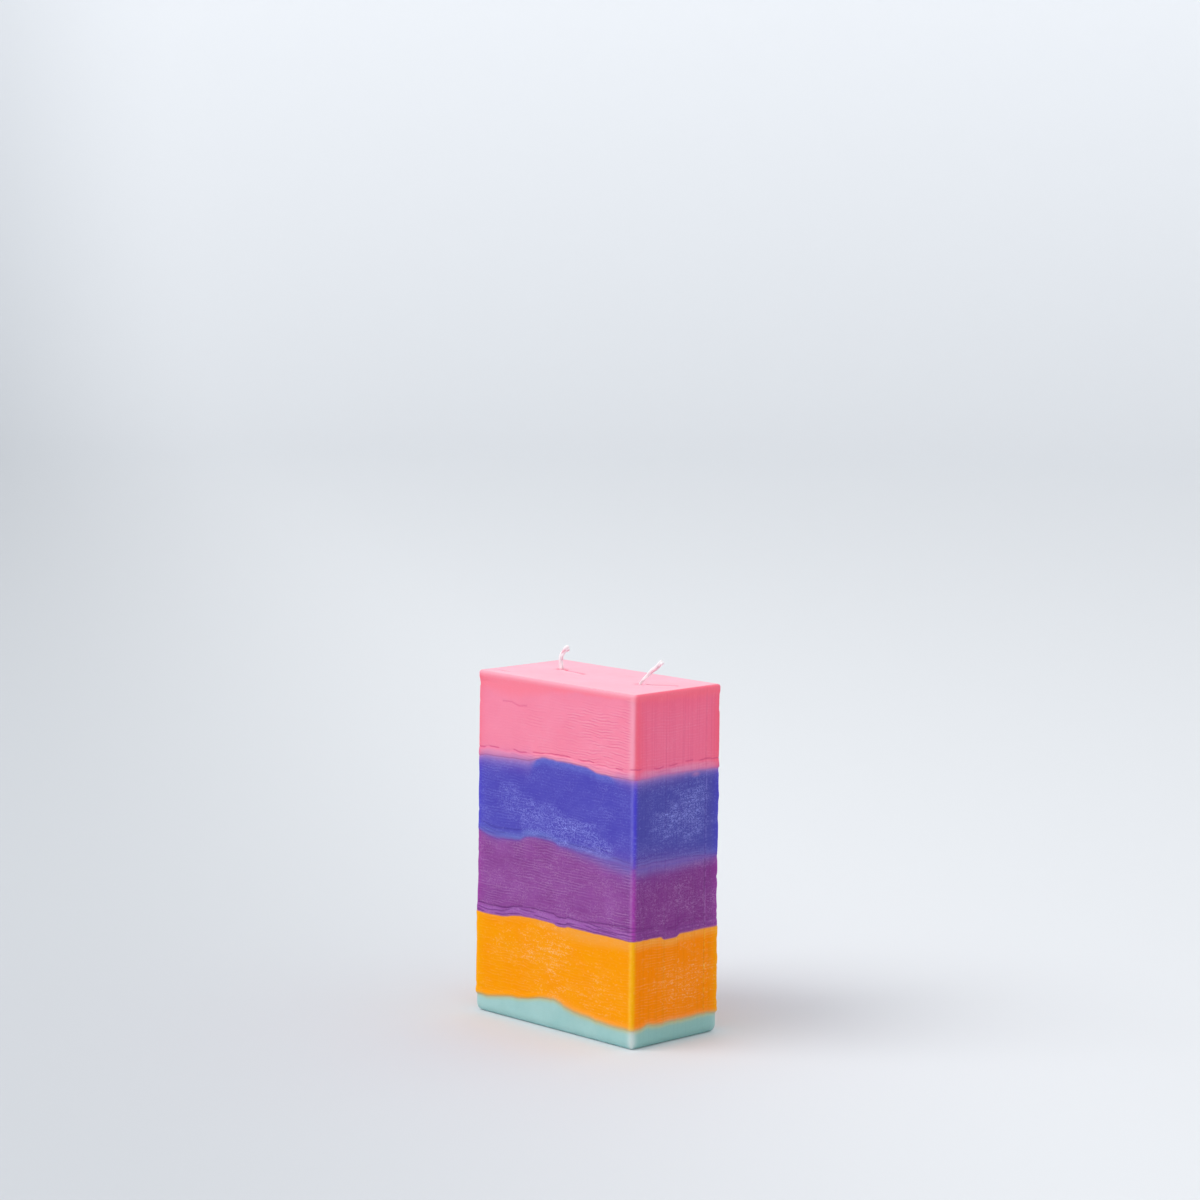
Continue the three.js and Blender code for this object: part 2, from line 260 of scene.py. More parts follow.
# Waves of each seam: place along and across as shares of half the length and depth, rise and
# reach as shares of half the length, and the power
SEAM_WAVES = {
    1: [(-0.07, -1, 0.105, 0.351, ROUND), (-0.56, -1, 0.027, 0.144, ROUND),
        (0.07, -1, 0.014, 0.072, STEEP), (0.47, -1, 0.016, 0.124, ROUND),
        (1, 0.37, 0.029, 1.031, ROUND), (1, -0.65, 0.016, 0.054, ROUND),
        (0.3, 1, 0.049, 0.309, ROUND), (-0.62, 1, 0.033, 0.227, ROUND)],
    2: [(-0.81, -1, -0.043, 0.278, LEVEL), (-0.18, -1, 0.007, 0.231, LEVEL),
        (0.1, -1, -0.012, 0.072, STEEP), (1, -0.14, -0.028, 0.099, STEEP),
        (-0.25, 1, 0.033, 0.33, LEVEL), (0.6, 1, -0.027, 0.186, ROUND)],
    3: [(-0.19, -1, 0.033, 0.223, STEEP), (-0.05, -1, 0.07, 0.668, ROUND),
        (-1, -1, 0.068, 0.134, ROUND), (0.4, 1, 0.054, 0.371, ROUND),
        (-0.6, 1, -0.025, 0.247, LEVEL)],
    4: [(-0.12, -1, 0.033, 0.901, ROUND), (0.11, -1, 0.043, 0.373, STEEP),
        (-0.09, -1, 0.008, 0.097, STEEP), (1, 0.18, 0.041, 0.81, ROUND),
        (-1, -1, -0.021, 0.049, ROUND), (-0.3, 1, 0.037, 0.351, LEVEL),
        (0.62, 1, -0.029, 0.206, ROUND)],
}
# Small unevenness of each seam, the size of its cells and the share of the finer ones
SEAM_JITTER = {1: 0.22, 2: 0.14, 3: 0.25, 4: 0.16}
JITTER_CELLS = (5.5, 1.9)
FINE_JITTER = 0.5


def seam_heights(seam):
    level = LEVELS[seam]
    ring = wall_points(np.full(STATIONS, level), np.zeros(STATIONS))
    half = half_length(level)
    z = np.full(STATIONS, float(level))
    for along, across, rise, reach, power in SEAM_WAVES[seam]:
        away = np.hypot(ring[:, 0] - along * half, ring[:, 1] - across * half_depth(level))
        z += rise * half * np.exp(-(away / (reach * half)) ** power)
    jitter = (level_noise(40 + seam, JITTER_CELLS[0])
              + FINE_JITTER * level_noise(50 + seam, JITTER_CELLS[1]))
    return z + SEAM_JITTER[seam] * jitter


SEAMS = {seam: seam_heights(seam) for seam in SEAM_WAVES}

# How far in mm the colours run into each other at each seam, from place to place along it
SEAM_BLUR = {
    1: table((-98, 0.5), (-60, 0.3), (-40, 0.9), (-20, 0.8), (0, 0.7), (25, 0.9), (50, 0.6),
             (90, 0.4), (130, 0.9), (170, 0.5)),
    2: table((-98, 0.12), (0, 0.12), (50, 0.2), (110, 0.12), (170, 0.3)),
    3: table((-98, 0.7), (-85, 0.9), (-62, 0.4), (-40, 0.9), (-20, 1.8), (-10, 3.0), (0, 3.4),
             (20, 2.8), (40, 1.8), (52, 0.9), (80, 1.6), (120, 0.5), (160, 1.2)),
    4: table((-98, 1.8), (-64, 2.0), (-59, 0.3), (-15, 0.25), (-9, 1.1), (0, 1.5), (20, 1.5),
             (36, 0.9), (50, 1.1), (75, 0.3), (120, 0.9), (150, 1.8)),
}

# How pale the blue pour is along its lower and its upper seam, and the purple one along its
# upper seam
BLUE_BAND = table((-98, 0.9), (-70, 1), (-55, 0.9), (-45, 0.5), (-30, 0.75), (-10, 1), (0, 1),
                  (30, 0.8), (52, 0.6), (100, 0.7), (150, 0.8))
BLUE_CROWN = table((-98, 0.75), (-66, 0.75), (-60, 0.9), (-16, 0.9), (-8, 0.5), (0, 0.35),
                   (30, 0.45), (52, 0.3), (70, 0.8), (110, 0.8), (135, 0.5), (180, 0.6))
PURPLE_CROWN = table((-98, 0.1), (-45, 0.15), (-25, 0.5), (-10, 0.85), (0, 0.9), (25, 0.8),
                     (52, 0.4), (90, 0.6), (130, 0.3), (170, 0.3))


# Surface of the wax wall

def waviness(z):
    """Slow unevenness of the whole wall, which every pour shares, and nicks in its edges."""
    broad = 0.08 * noise(1, z, 26, 20) + 0.04 * noise(2, z, 9, 7)
    nicked = 0.16 * noise(3, z, 5, 6.5) - 0.16 * smooth(noise(4, z, 4, 2.4), 0.35, 0.8)
    scalloped = 0.24 * noise(5, z, 9, 3.2) * (NEAREST_EDGE == 1) * smooth(z, 114, 108)
    return (broad + (nicked + scalloped) * bell(FROM_EDGE, 1.8)) * smooth(z, 1, 5)


def soft_patches(z, patches):
    """Strength of soft patches on the wall, each at (run, z) with its reach both ways."""
    total = np.zeros_like(z)
    ragged = 0.16 * noise(7, z, 18, 5) + 0.2 * noise(8, z, 6, 1.8)
    for run, height, run_reach, z_reach, strength in patches:
        away = (RUN - run + PERIMETER / 2) % PERIMETER - PERIMETER / 2
        out = np.hypot(away / run_reach, (z - height) / z_reach) + ragged
        total = np.maximum(total, strength * smooth(out, 1.5, 0.2))
    return total


def on_line(z, points, width):
    """1 on a line drawn through (run, z) points of the wall, falling off over width."""
    nearest = np.full(z.shape, 99.0)
    for (run_a, z_a), (run_b, z_b) in zip(points, points[1:]):
        run, rise = run_b - run_a, z_b - z_a
        share = np.clip(((RUN - run_a) * run + (z - z_a) * rise) / (run ** 2 + rise ** 2), 0, 1)
        nearest = np.minimum(nearest, np.hypot(RUN - run_a - share * run, z - z_a - share * rise))
    return bell(nearest, width)


# Marks that the finishes read at each point of the wax
MASKS = ("low_mix", "high_mix", "over", "under", "vivid", "pale", "bloom", "crease", "hollow",
         "upright", "rippled")

# Patches of pale bloom on each pour: run, height, reach both ways, strength
BLOOM = {
    1: [(60, 6, 60, 4, 0.2)],
    2: [(-78, 33, 16, 13, 0.35), (-52, 34, 21, 13, 0.6), (-50, 19, 18, 10, 0.5),
        (-21, 23, 16, 16, 0.4), (30, 25, 22, 17, 0.5), (82, 31, 24, 10, 0.45),
        (118, 22, 26, 9, 0.35), (174, 27, 15, 13, 0.4)],
    3: [(-52, 67, 18, 9, 0.4), (-18, 57, 11, 8, 0.35), (-80, 60, 14, 10, 0.25),
        (32, 62, 18, 13, 0.42), (88, 58, 22, 9, 0.4), (124, 64, 20, 8, 0.3),
        (168, 63, 16, 10, 0.35)],
    4: [(-80, 97, 15, 11, 0.4), (-64, 92, 27, 9, 0.58), (-42, 88, 27, 9, 0.66),
        (-23, 84, 18, 8, 0.62), (-15, 98, 7, 5, 0.3), (32, 97, 20, 13, 0.66),
        (19, 93, 16, 9, 0.5),
        (78, 91, 22, 9, 0.75), (112, 98, 30, 8, 0.6), (135, 86, 16, 7, 0.5),
        (170, 94, 17, 12, 0.6)],
    5: [(-55, 128, 24, 8, 0.25), (-20, 126, 14, 8, 0.25), (28, 130, 19, 11, 0.2),
        (100, 130, 38, 12, 0.25), (172, 128, 16, 11, 0.2)],
}

# Least bloom anywhere on each pour
LEAST_BLOOM = {1: 0.06, 2: 0.14, 3: 0.33, 4: 0.28, 5: 0.14}

# Height of the crease along the top of the pink pour's lip
PINK_CREASE = table((-98, 116.6), (-91.6, 117), (-75, 117.7), (-70, 117.3), (-62, 118.2),
                    (-52, 119.1), (-36.6, 119), (-21.5, 118.6), (-6.7, 118.2), (0, 119),
                    (8, 118.8), (14, 118.1), (17.6, 118.7), (33, 119.1), (44.6, 118.7),
                    (60, 117.4), (82, 119.6), (110, 118.3), (125, 115.8), (150, 115.6),
                    (175, 116.2))
# A scratch under the top edge, and lines drawn down the right end: run and strength
PINK_SCRATCH = [(-81, 138.2), (-75.4, 138.4), (-70.9, 137.2), (-65.9, 137.8)]
END_LINES = ((42.0, 1.0), (18.0, 0.6), (45.0, 0.35), (26.0, 0.3))

# How strongly each pour rippled against the mould, along the wall
RIPPLES = {
    1: table((-98, 0.1), (52, 0.1)),
    2: table((-98, 0.2), (0, 0.2), (4, 0.3), (50, 0.3), (60, 0.2), (148, 0.2)),
    3: table((-98, 0.55), (-40, 0.7), (-2, 0.95), (4, 0.15), (50, 0.15), (60, 0.6), (148, 0.6)),
    4: table((-98, 0.4), (-50, 0.35), (-2, 0.2), (4, 0.12), (50, 0.12), (60, 0.3), (148, 0.3)),
    5: table((-98, 0.1), (-72, 0.2), (-56, 0.5), (-42, 0.8), (-28, 1.0), (-3, 1.0), (2, 0.3),
             (50, 0.25), (60, 0.7), (145, 0.7), (152, 0.2), (190, 0.2)),
}
# Strength of the ticks beside the near edge, and how far each pour stands proud at the upright
# edges on the left and right of the photograph
EDGE_TICKS = {1: 0, 2: 0.35, 3: 1, 4: 0.35, 5: 1}
EDGE_BULGE = {1: -0.3, 2: 0.25, 3: -0.12, 4: 0.0, 5: 0.05}

# How far the small marks of the wall rise from it or sink into it
DRAWN_RELIEF = 0.035
END_LINE_DEPTH = 0.13
GRAIN_RELIEF = 0.022
SCRATCH_DEPTH = 0.07
PINK_CREASE_DEPTH = 0.1
BLUE_CREASE_DEPTH = 0.07
PURPLE_CREASE_DEPTH = 0.13

# Creases along the lips of the blue and the purple pour: height above the seam, and the seed
# of each one's wander
BLUE_CREASES = ((1.1, 64), (2.3, 65), (4.4, 66))
PURPLE_CREASES = ((0.8, 69), (1.7, 70), (2.6, 71), (3.6, 75), (4.8, 72))

# A pocket of pink in the blue pour's right end, as a soft patch
PINK_POCKET = [(36, 113.5, 3.4, 1.6, 1)]

# How strongly the orange pour pales below its upper seam, and how far down
ORANGE_CROWN = table((-98, 0.3), (-75, 0.35), (-45, 0.6), (-30, 0.95), (52, 0.9), (90, 0.5),
                     (130, 0.8), (170, 0.4))
ORANGE_CROWN_DEPTH = table((-98, 2.6), (-55, 3.4), (-32, 8.0), (-10, 6.5), (0, 5.5), (40, 4.6),
                           (52, 4.0), (100, 6.0), (150, 4.0))

# How far the clear glow reaches down from the top edge
GLOW_DEPTH = table((-98, 9), (-86, 11), (-70, 11.5), (-62, 9.5), (-50, 5.5), (-30, 4.4), (-8, 4),
                   (26, 4.5), (52, 6), (75, 8), (100, 10), (149, 7), (170, 8))


def mark(masks, kind, value):
    """Raises a mask to a value where it is lower."""
    masks[kind] = np.maximum(masks[kind], value)


def lip(low, tall, proud):
    """Overhang of a lip above its seam."""
    share = low / tall
    return proud * smooth(share, 0, 0.08) * (1 - smooth(share, 0.45, 1.0))


def mark_ripples(pour, z, fade, masks):
    """Ripples, which stop short of the glow under the top edge, and ticks by the near edge."""
    masks["rippled"] = RIPPLES[pour] * (0.35 + 0.65 * smooth(noise(10 + pour, z, 16, 9), -0.5, 0.3))
    if pour == 5:
        masks["rippled"] *= smooth(BODY_HEIGHT - z, GLOW_DEPTH, GLOW_DEPTH + 3)
        masks["rippled"] *= np.where(BY_NEAR_EDGE, smooth(np.abs(FROM_EDGE), 1.6, 3.2), 1)
    beside = bell(FROM_EDGE + 3.3, 1.3) * BY_NEAR_EDGE
    ticks = EDGE_TICKS[pour] * beside * (0.5 + 0.5 * noise(340 + pour, z, 9, 3.5))
    mark(masks, "rippled", ticks * fade)


def drawn_relief(pour, z, masks):
    """Upright lines that the mould drew on the end walls, and grain. The base has no such relief."""
    # The end walls take the darker end tone, a painted shade, and carry the drawn lines
    masks["upright"] = 0 * z + ON_END
    if pour == 1:
        return np.zeros_like(z)
    upright = noise(300 + pour, z, 1.3, 55) + 0.6 * noise(310 + pour, z, 3.4, 70)
    relief = DRAWN_RELIEF * upright * ON_END
    for run, strength in END_LINES:
        seen = strength * (0.4 if pour == 5 else 1)
        line = bell(RUN - run, 0.34) * smooth(noise(320, z, 9, 6), -0.9, 0.0)
        relief -= END_LINE_DEPTH * seen * line
        beads = smooth(noise(330, z, 9, 0.8), -0.4, 0.3) * bell(RUN - run - 0.35, 0.38)
        mark(masks, "pale", 0.5 * seen ** 2 * beads)
        # Painted shade in the drawn line
        mark(masks, "hollow", seen * line)
    return relief + GRAIN_RELIEF * noise(360 + pour, z, 1.0, 0.9)


def pink_lip(z, low, masks):
    """The pink pour's broad lip, with a broken crease along its top and another halfway."""
    tall = PINK_CREASE - SEAMS[4] + 0.45 * level_noise(60, 5.2) + 0.2 * level_noise(59, 2.1)
    broken = smooth(level_noise(62, 4.5) + 0.25, 0, 0.35)
    crease = bell(low - tall - 0.15, 0.24) * (0.1 + 0.9 * broken)
    second = bell(low - 0.55 * tall, 0.2) * smooth(level_noise(63, 6), 0.1, 0.5)
    # The creases are painted darker, as painted shade
    masks["crease"] = np.maximum(crease, 0.4 * second)
    masks["over"] = (1 - smooth(low, 0.5 * tall, tall)) * (0.8 + 0.2 * noise(74, z, 6, 2))
    return (lip(low, tall, proud=0.26 + 0.06 * level_noise(61, 7))
            - PINK_CREASE_DEPTH * (crease + 0.5 * second))


def blue_lip(z, low, masks):
    """The blue pour's low lip, with creases and a pale streaky band."""
    relief = lip(low, tall=3.0, proud=0.08)
    for height, seed in BLUE_CREASES:
        wander = height + 0.5 * level_noise(seed, 15)
        seen = smooth(level_noise(seed + 10, 9) + bell(RUN - 9, 9), 0.0, 0.5)
        crease = bell(low - wander, 0.28) * seen
        relief -= BLUE_CREASE_DEPTH * crease
        # Painted shade in the crease
        mark(masks, "hollow", 0.7 * crease)
    streaks = 0.75 + 0.25 * noise(67, z, 14, 0.9)
    masks["over"] = (1 - smooth(low, 1.2, 4.6)) * streaks * BLUE_BAND
    return relief


def purple_lip(z, low, masks):
    """The purple pour's lip, with fine dark creases, stronger on the long walls."""
    relief = lip(low, tall=4.0 + 0.5 * level_noise(68, 12), proud=0.22)
    for height, seed in PURPLE_CREASES:
        wander = height + 0.8 * level_noise(seed, 15) + 0.15 * level_noise(seed + 10, 4)
        seen = smooth(level_noise(seed + 20, 8) + 0.3 + 0.6 * bell(RUN + 16, 16), 0.0, 0.5)
        crease = bell(low - wander, 0.2) * seen * (0.45 + 0.55 * ON_LONG)
        relief -= PURPLE_CREASE_DEPTH * crease
        # Painted shade in the crease
        mark(masks, "crease", 0.95 * crease)
    masks["over"] = 0.9 * (1 - smooth(low, 2.6, 4.6)) * (1 - 0.75 * ON_END)
    return relief


def orange_lip(z, low, masks):
    masks["over"] = (1 - smooth(low, 0.2, 1.7)) * (0.75 + 0.25 * noise(73, z, 12, 5))
    return lip(low, tall=3.0, proud=0.2)


LIPS = {2: orange_lip, 3: purple_lip, 4: blue_lip, 5: pink_lip}


# How each pour pales below its upper seam: how strongly, the distances from the seam where that
# starts to fade and ends, and the share of it that isn't mottled
CROWNS = {
    1: (0.85, 0.2, 2.0, 1.0),
    2: (ORANGE_CROWN, 0.2 * ORANGE_CROWN_DEPTH, ORANGE_CROWN_DEPTH, 0.75),
    3: (PURPLE_CROWN, 0.3, 5.5, 0.8),
    4: (BLUE_CROWN, 1.0, 4.6, 0.55),
}


def mark_crown(pour, z, high, masks):
    strength, start, end, even = CROWNS[pour]
    mottled = smooth(noise(80 + pour, z, 1.7, 0.9), -0.8, 0.6)
    masks["under"] = strength * (1 - smooth(high, start, end)) * (even + (1 - even) * mottled)


def mark_upright_edges(pour, z, masks):
    """Painted light that comes through at the upright edges, and a painted highlight by the near
    one.
    """
    through = np.where(BY_NEAR_EDGE, bell(FROM_EDGE, 1.25), np.exp(-np.abs(FROM_EDGE) / 2.0))
    if pour == 5:
        through = through * np.where(BY_NEAR_EDGE, smooth(FROM_EDGE, -0.8, 0.6), 0.7)
        through = np.maximum(through, 0.95 * np.exp(-FROM_EDGE / 4.5) * (FROM_EDGE > 0))
        edge_highlight = 0.55 * bell(FROM_EDGE + 1.6, 1.7)
    elif pour == 1:
        edge_highlight = 0.75 * bell(FROM_EDGE, 2.3) * (1 - 0.6 * smooth(z, 3, 11))
    else:
        edge_highlight = 0.75 * bell(FROM_EDGE + 1.1, 0.8) * (0.75 + 0.25 * noise(95, z, 9, 1.6))
    mark(masks, "vivid", through)
    # The pale line by the near edge is a painted highlight
    mark(masks, "pale", edge_highlight * BY_NEAR_EDGE)


def top_rim(z, masks):
    """The rim round the top, painted light that comes through under its edge, a painted highlight on
    that edge, and the scratch with painted shade in it.
    """
    down = BODY_HEIGHT - z
    ragged = TOP_RIM["tall"] + 0.3 * level_noise(90, 9)
    rim = (TOP_RIM["proud"] * (0.2 + 0.8 * bell(FROM_EDGE, 7))
           * (1 - smooth(down, ragged - TOP_RIM["step"], ragged)))
    depth = GLOW_DEPTH + 0.9 * level_noise(91, 7) + 0.3 * level_noise(92, 2.5)
    # Painted glow where light comes through under the top edge
    masks["under"] = (1 - smooth(down, 0.45 * depth, depth)) * (1 - 0.35 * ON_END)
    mark(masks, "vivid", ON_END * np.exp(-down / 5.0))
    # Painted highlight along the top edge, weaker on the end walls
    mark(masks, "pale", (0.75 - 0.6 * ON_END) * (1 - smooth(down, 0.3, 3.0)))
    scratch = on_line(z, PINK_SCRATCH, 0.35)
    # Painted shade in the scratch
    mark(masks, "hollow", 0.6 * scratch)
    return rim - SCRATCH_DEPTH * scratch


def wall_surface(pour, z, low, high):
    """How far the wall of a pour stands proud, and its masks, from heights above its lower
    seam and below its upper one."""
    masks = {kind: np.zeros_like(z) for kind in MASKS}
    fade = smooth(low, 0, 0.6) * smooth(high, 0, 0.6)
    mark_ripples(pour, z, fade, masks)
    relief = drawn_relief(pour, z, masks)
    if pour > 1:
        relief = relief + LIPS[pour](z, low, masks)
        masks["low_mix"] = 0.5 * np.exp(-low / SEAM_BLUR[pour - 1])
    if pour < 5:
        mark_crown(pour, z, high, masks)
        masks["high_mix"] = 0.5 * np.exp(-high / SEAM_BLUR[pour])
    if pour == 4:
        mark(masks, "high_mix", 0.4 * soft_patches(z, PINK_POCKET))

    # Pours stand proud or are drawn in at the upright edges on the photograph's left and right
    relief = relief + EDGE_BULGE[pour] * bell(FROM_EDGE, 4) * (NEAREST_EDGE % 2 == 1)
    relief = relief * fade
    mark_upright_edges(pour, z, masks)
    if pour == 5:
        relief = relief + top_rim(z, masks)
    masks["bloom"] = np.maximum(LEAST_BLOOM[pour], soft_patches(z, BLOOM[pour]))
    return relief + waviness(z), masks


# Limit that keeps the wall inside the solids' box
SPARE = 0.01
reach_x = cad_high.x / MM - SPARE
reach_y = cad_high.y / MM - SPARE


def dressed_wall(z, proud):
    points = wall_points(z, proud)
    points[..., 0] = np.clip(points[..., 0], -reach_x, reach_x)
    points[..., 1] = np.clip(points[..., 1], -reach_y, reach_y)
    return points


# Wicks: where each one stands, how its stub bends and where its groove points, as in the
# part's source. Then how strongly the wax and cotton round its foot are tinted coral, how far
# its foot is drawn together, how its tip opens and swells, and the phase of its plait.

WICKS = {
    "left_wick": {
        "side": -1, "off_centre": 3.6, "groove_turn": math.radians(-7.5),
        "lean_turn": math.radians(40), "blush": 1.0, "pinch": 1.0, "tuft": 1.4,
        "swell": 0.55, "lay": 0.4,
        "stub": [(-0.4, 2.3), (-0.5, 4.4), (-0.1, 6.2), (0.7, 7.9), (1.8, 9.1), (3.2, 9.3)]},
    "right_wick": {
        "side": 1, "off_centre": -1.4, "groove_turn": math.radians(32),
        "lean_turn": math.radians(28.5), "blush": 0.3, "pinch": 0.6, "tuft": 1.0,
        "swell": 0.12, "lay": 2.0,
        "stub": [(0.7, 1.1), (2.4, 3.1), (4.1, 4.9), (5.8, 6.5), (7.9, 8.4), (10.1, 10.4)]},
}
for wick in WICKS.values():
    wick["x"] = wick["side"] * (half_length(BODY_HEIGHT) - WICK_FROM_END)
    wick["y"] = wick["off_centre"]
    wick["foot"] = BODY_HEIGHT - TOP_DISH * (1 - (wick["x"] / half_length(BODY_HEIGHT)) ** 2)
GROOVE = {"length": 17, "half_width": 0.72, "depth": 0.6}
GROOVE_RUN_OUT = 1.2
DIMPLE = {"radius": 3.0, "depth": 0.65}
# Wax that crept up each wick at its foot
CREEP = 0.5
# Scars in the top: place, reach and depth
TOP_SCARS = [(-40.5, -18.2, 1.6, 0.35), (-36.9, -18.5, 1.0, 0.3), (8.0, 12.0, 2.2, 0.12),
             (-6.0, -9.0, 3.0, 0.08)]


def plane_noise(seed, x, y, cell):
    """Smooth noise from -1 to 1 over a level surface."""
    columns, rows = int(LENGTH_AT_BASE / cell) + 6, int(DEPTH_AT_BASE / cell) + 6
    cells = np.random.default_rng(seed).uniform(-1, 1, (rows, columns))
    return blended(cells, x / cell + columns / 2, y / cell + rows / 2)


def top_surface(x, y):
    """Height and masks of the top, dished, with the marks that the wicks left in it."""
    masks = {kind: np.zeros_like(x) for kind in MASKS}
    out = np.maximum(np.abs(x) / half_length(BODY_HEIGHT), np.abs(y) / half_depth(BODY_HEIGHT))
    inside = smooth(out, 0.985, 0.93)
    z = BODY_HEIGHT - TOP_DISH * (1 - out ** 2) * smooth(out, 1.0, 0.9)
    z = z + inside * (0.05 * plane_noise(500, x, y, 12) + 0.006 * plane_noise(501, x, y, 3.5))
    for wick in WICKS.values():
        dx, dy = x - wick["x"], y - wick["y"]
        along, across = turned(dx, dy, -wick["groove_turn"])
        from_foot = np.hypot(dx, dy)
        z -= DIMPLE["depth"] * (1 - smooth(from_foot, 0.4, DIMPLE["radius"]))
        z += 0.12 * bell(from_foot - DIMPLE["radius"] - 0.2, 0.5)
        z += CREEP * (1 - smooth(from_foot, 0.9, 1.7))
        mark(masks, "under", wick["blush"] * bell(from_foot, 2.2))
        mark(masks, "vivid", wick["blush"] * bell(from_foot, 1.8))
        run_out = smooth(along, 0.3, 2) * smooth(along, GROOVE["length"],
                                                 GROOVE["length"] - GROOVE_RUN_OUT)
        wander = 0.12 * np.sin(along * 0.7)
        trough = bell(across - wander, GROOVE["half_width"]) * run_out
        bank = bell(across - wander + 1.9, 1.1) * run_out
        z += 0.14 * bank + 0.08 * bell(across - wander - 1.25, 0.5) * run_out
        z -= GROOVE["depth"] * trough
        # The groove is painted darker, as painted shade
        mark(masks, "crease", 0.9 * trough)
        mark(masks, "under", (0.7 * wick["blush"] * bell(along - GROOVE["length"] + 2, 2)
                              * bell(across, 1.2)))
        # The raised bank beside the groove is painted paler, as a painted highlight
        mark(masks, "pale", 0.9 * bank)
    for at_x, at_y, reach, depth in TOP_SCARS:
        scar = bell((x - at_x) / 1.4, reach) * bell(y - at_y, reach * 0.45)
        z -= depth * scar
        mark(masks, "under", 2.2 * depth * scar)
    # Painted glow near the top's border, where light comes through the wax, and a painted highlight
    # on its edge
    mark(masks, "under", 0.3 * smooth(out, 0.93, 1.0))
    mark(masks, "pale", 0.5 * smooth(out, 0.985, 0.995))
    return z, masks


def base_surface(x, y):
    """Height and masks of the base, where the last pour set, a little sunk in its middle."""
    masks = {kind: np.zeros_like(x) for kind in MASKS}
    edge = np.minimum(half_length(0) - np.abs(x), half_depth(0) - np.abs(y)) - BASE_ROUND_WIDTH
    inside = smooth(edge, 2.5, 8)
    z = inside * (0.22 + 0.07 * plane_noise(510, x, y, 8) + 0.04 * plane_noise(511, x, y, 3))
    for wick in WICKS.values():
        from_end = np.hypot(x - wick["x"], y - wick["y"])
        z += 0.45 * (1 - smooth(from_end, 0.9, 2.6))
        mark(masks, "hollow", bell(from_end, 1.8))
    masks["bloom"] = 0.2 + 0.2 * plane_noise(512, x, y, 9)
    return np.maximum(z, 0), masks


# Pours of wax

# Rows are this close by the seams, and up to this height above the lower one
CLOSE_STEP = 0.25
CLOSE_HEIGHT = 5.0


def wall_rows(low, high, fine_top, step):
    """Heights from the lower seam to the upper one, in close rows above the lower seam and
    within fine_top of the upper one, and about step apart between them."""
    near = np.arange(0, CLOSE_HEIGHT + 0.01, CLOSE_STEP)
    far = np.arange(fine_top, -0.01, -CLOSE_STEP)
    between = np.mean(high - low) - CLOSE_HEIGHT - fine_top
    shares = np.linspace(0, 1, max(round(between / step), 2) + 1)
    middle_low, middle_high = low + near[-1], high - far[0]
    rows = [low + above for above in near]
    rows += [middle_low + (middle_high - middle_low) * share for share in shares[1:-1]]
    rows += [high - below for below in far]
    return np.array(rows)


def face_grid(ring):
    """Points of a grid that fills a ring of the wall, and each one's station on its border."""
    across, upward = LONG_STEPS + CORNER_STEPS, SHORT_STEPS + CORNER_STEPS
    start = CORNER_STATIONS
    front = (start[3] + np.arange(across + 1)) % STATIONS
    end = start[0] + np.arange(upward + 1)
    back = (start[1] + np.arange(across + 1))[::-1]
    far_end = (start[2] + np.arange(upward + 1))[::-1]
    s = np.linspace(0, 1, across + 1)[None, :, None]
    t = np.linspace(0, 1, upward + 1)[:, None, None]
    sides = (1 - t) * ring[front][None] + t * ring[back][None]
    sides = sides + (1 - s) * ring[far_end][:, None] + s * ring[end][:, None]
    corners = ((1 - t) * ((1 - s) * ring[front[0]] + s * ring[front[-1]])
               + t * ((1 - s) * ring[back[0]] + s * ring[back[-1]]))
    border = np.full((upward + 1, across + 1), -1)
    border[0], border[-1], border[:, 0], border[:, -1] = front, back, far_end, end
    return sides - corners, border


def quads(first, second):
    """Faces between two rings of vertex numbers, facing out where the second is above."""
    return np.stack([first, np.roll(first, -1), np.roll(second, -1), second], axis=-1)


def put_mesh(name, points, faces, sharp_angle, fields):
    """Adds a smooth mesh, sharp above an angle in degrees, with the values of its fields."""
    mesh = bpy.data.meshes.new(name)
    mesh.from_pydata((points * MM).tolist(), [], faces)
    mesh.shade_smooth()
    mesh.set_sharp_from_angle(angle=math.radians(sharp_angle))
    for field, values in fields.items():
        layer = mesh.attributes.new(field, "FLOAT", "POINT")
        layer.data.foreach_set("value", values.astype(np.float32))
    return put(name, mesh)


WAX_SHARP_ANGLE = 48


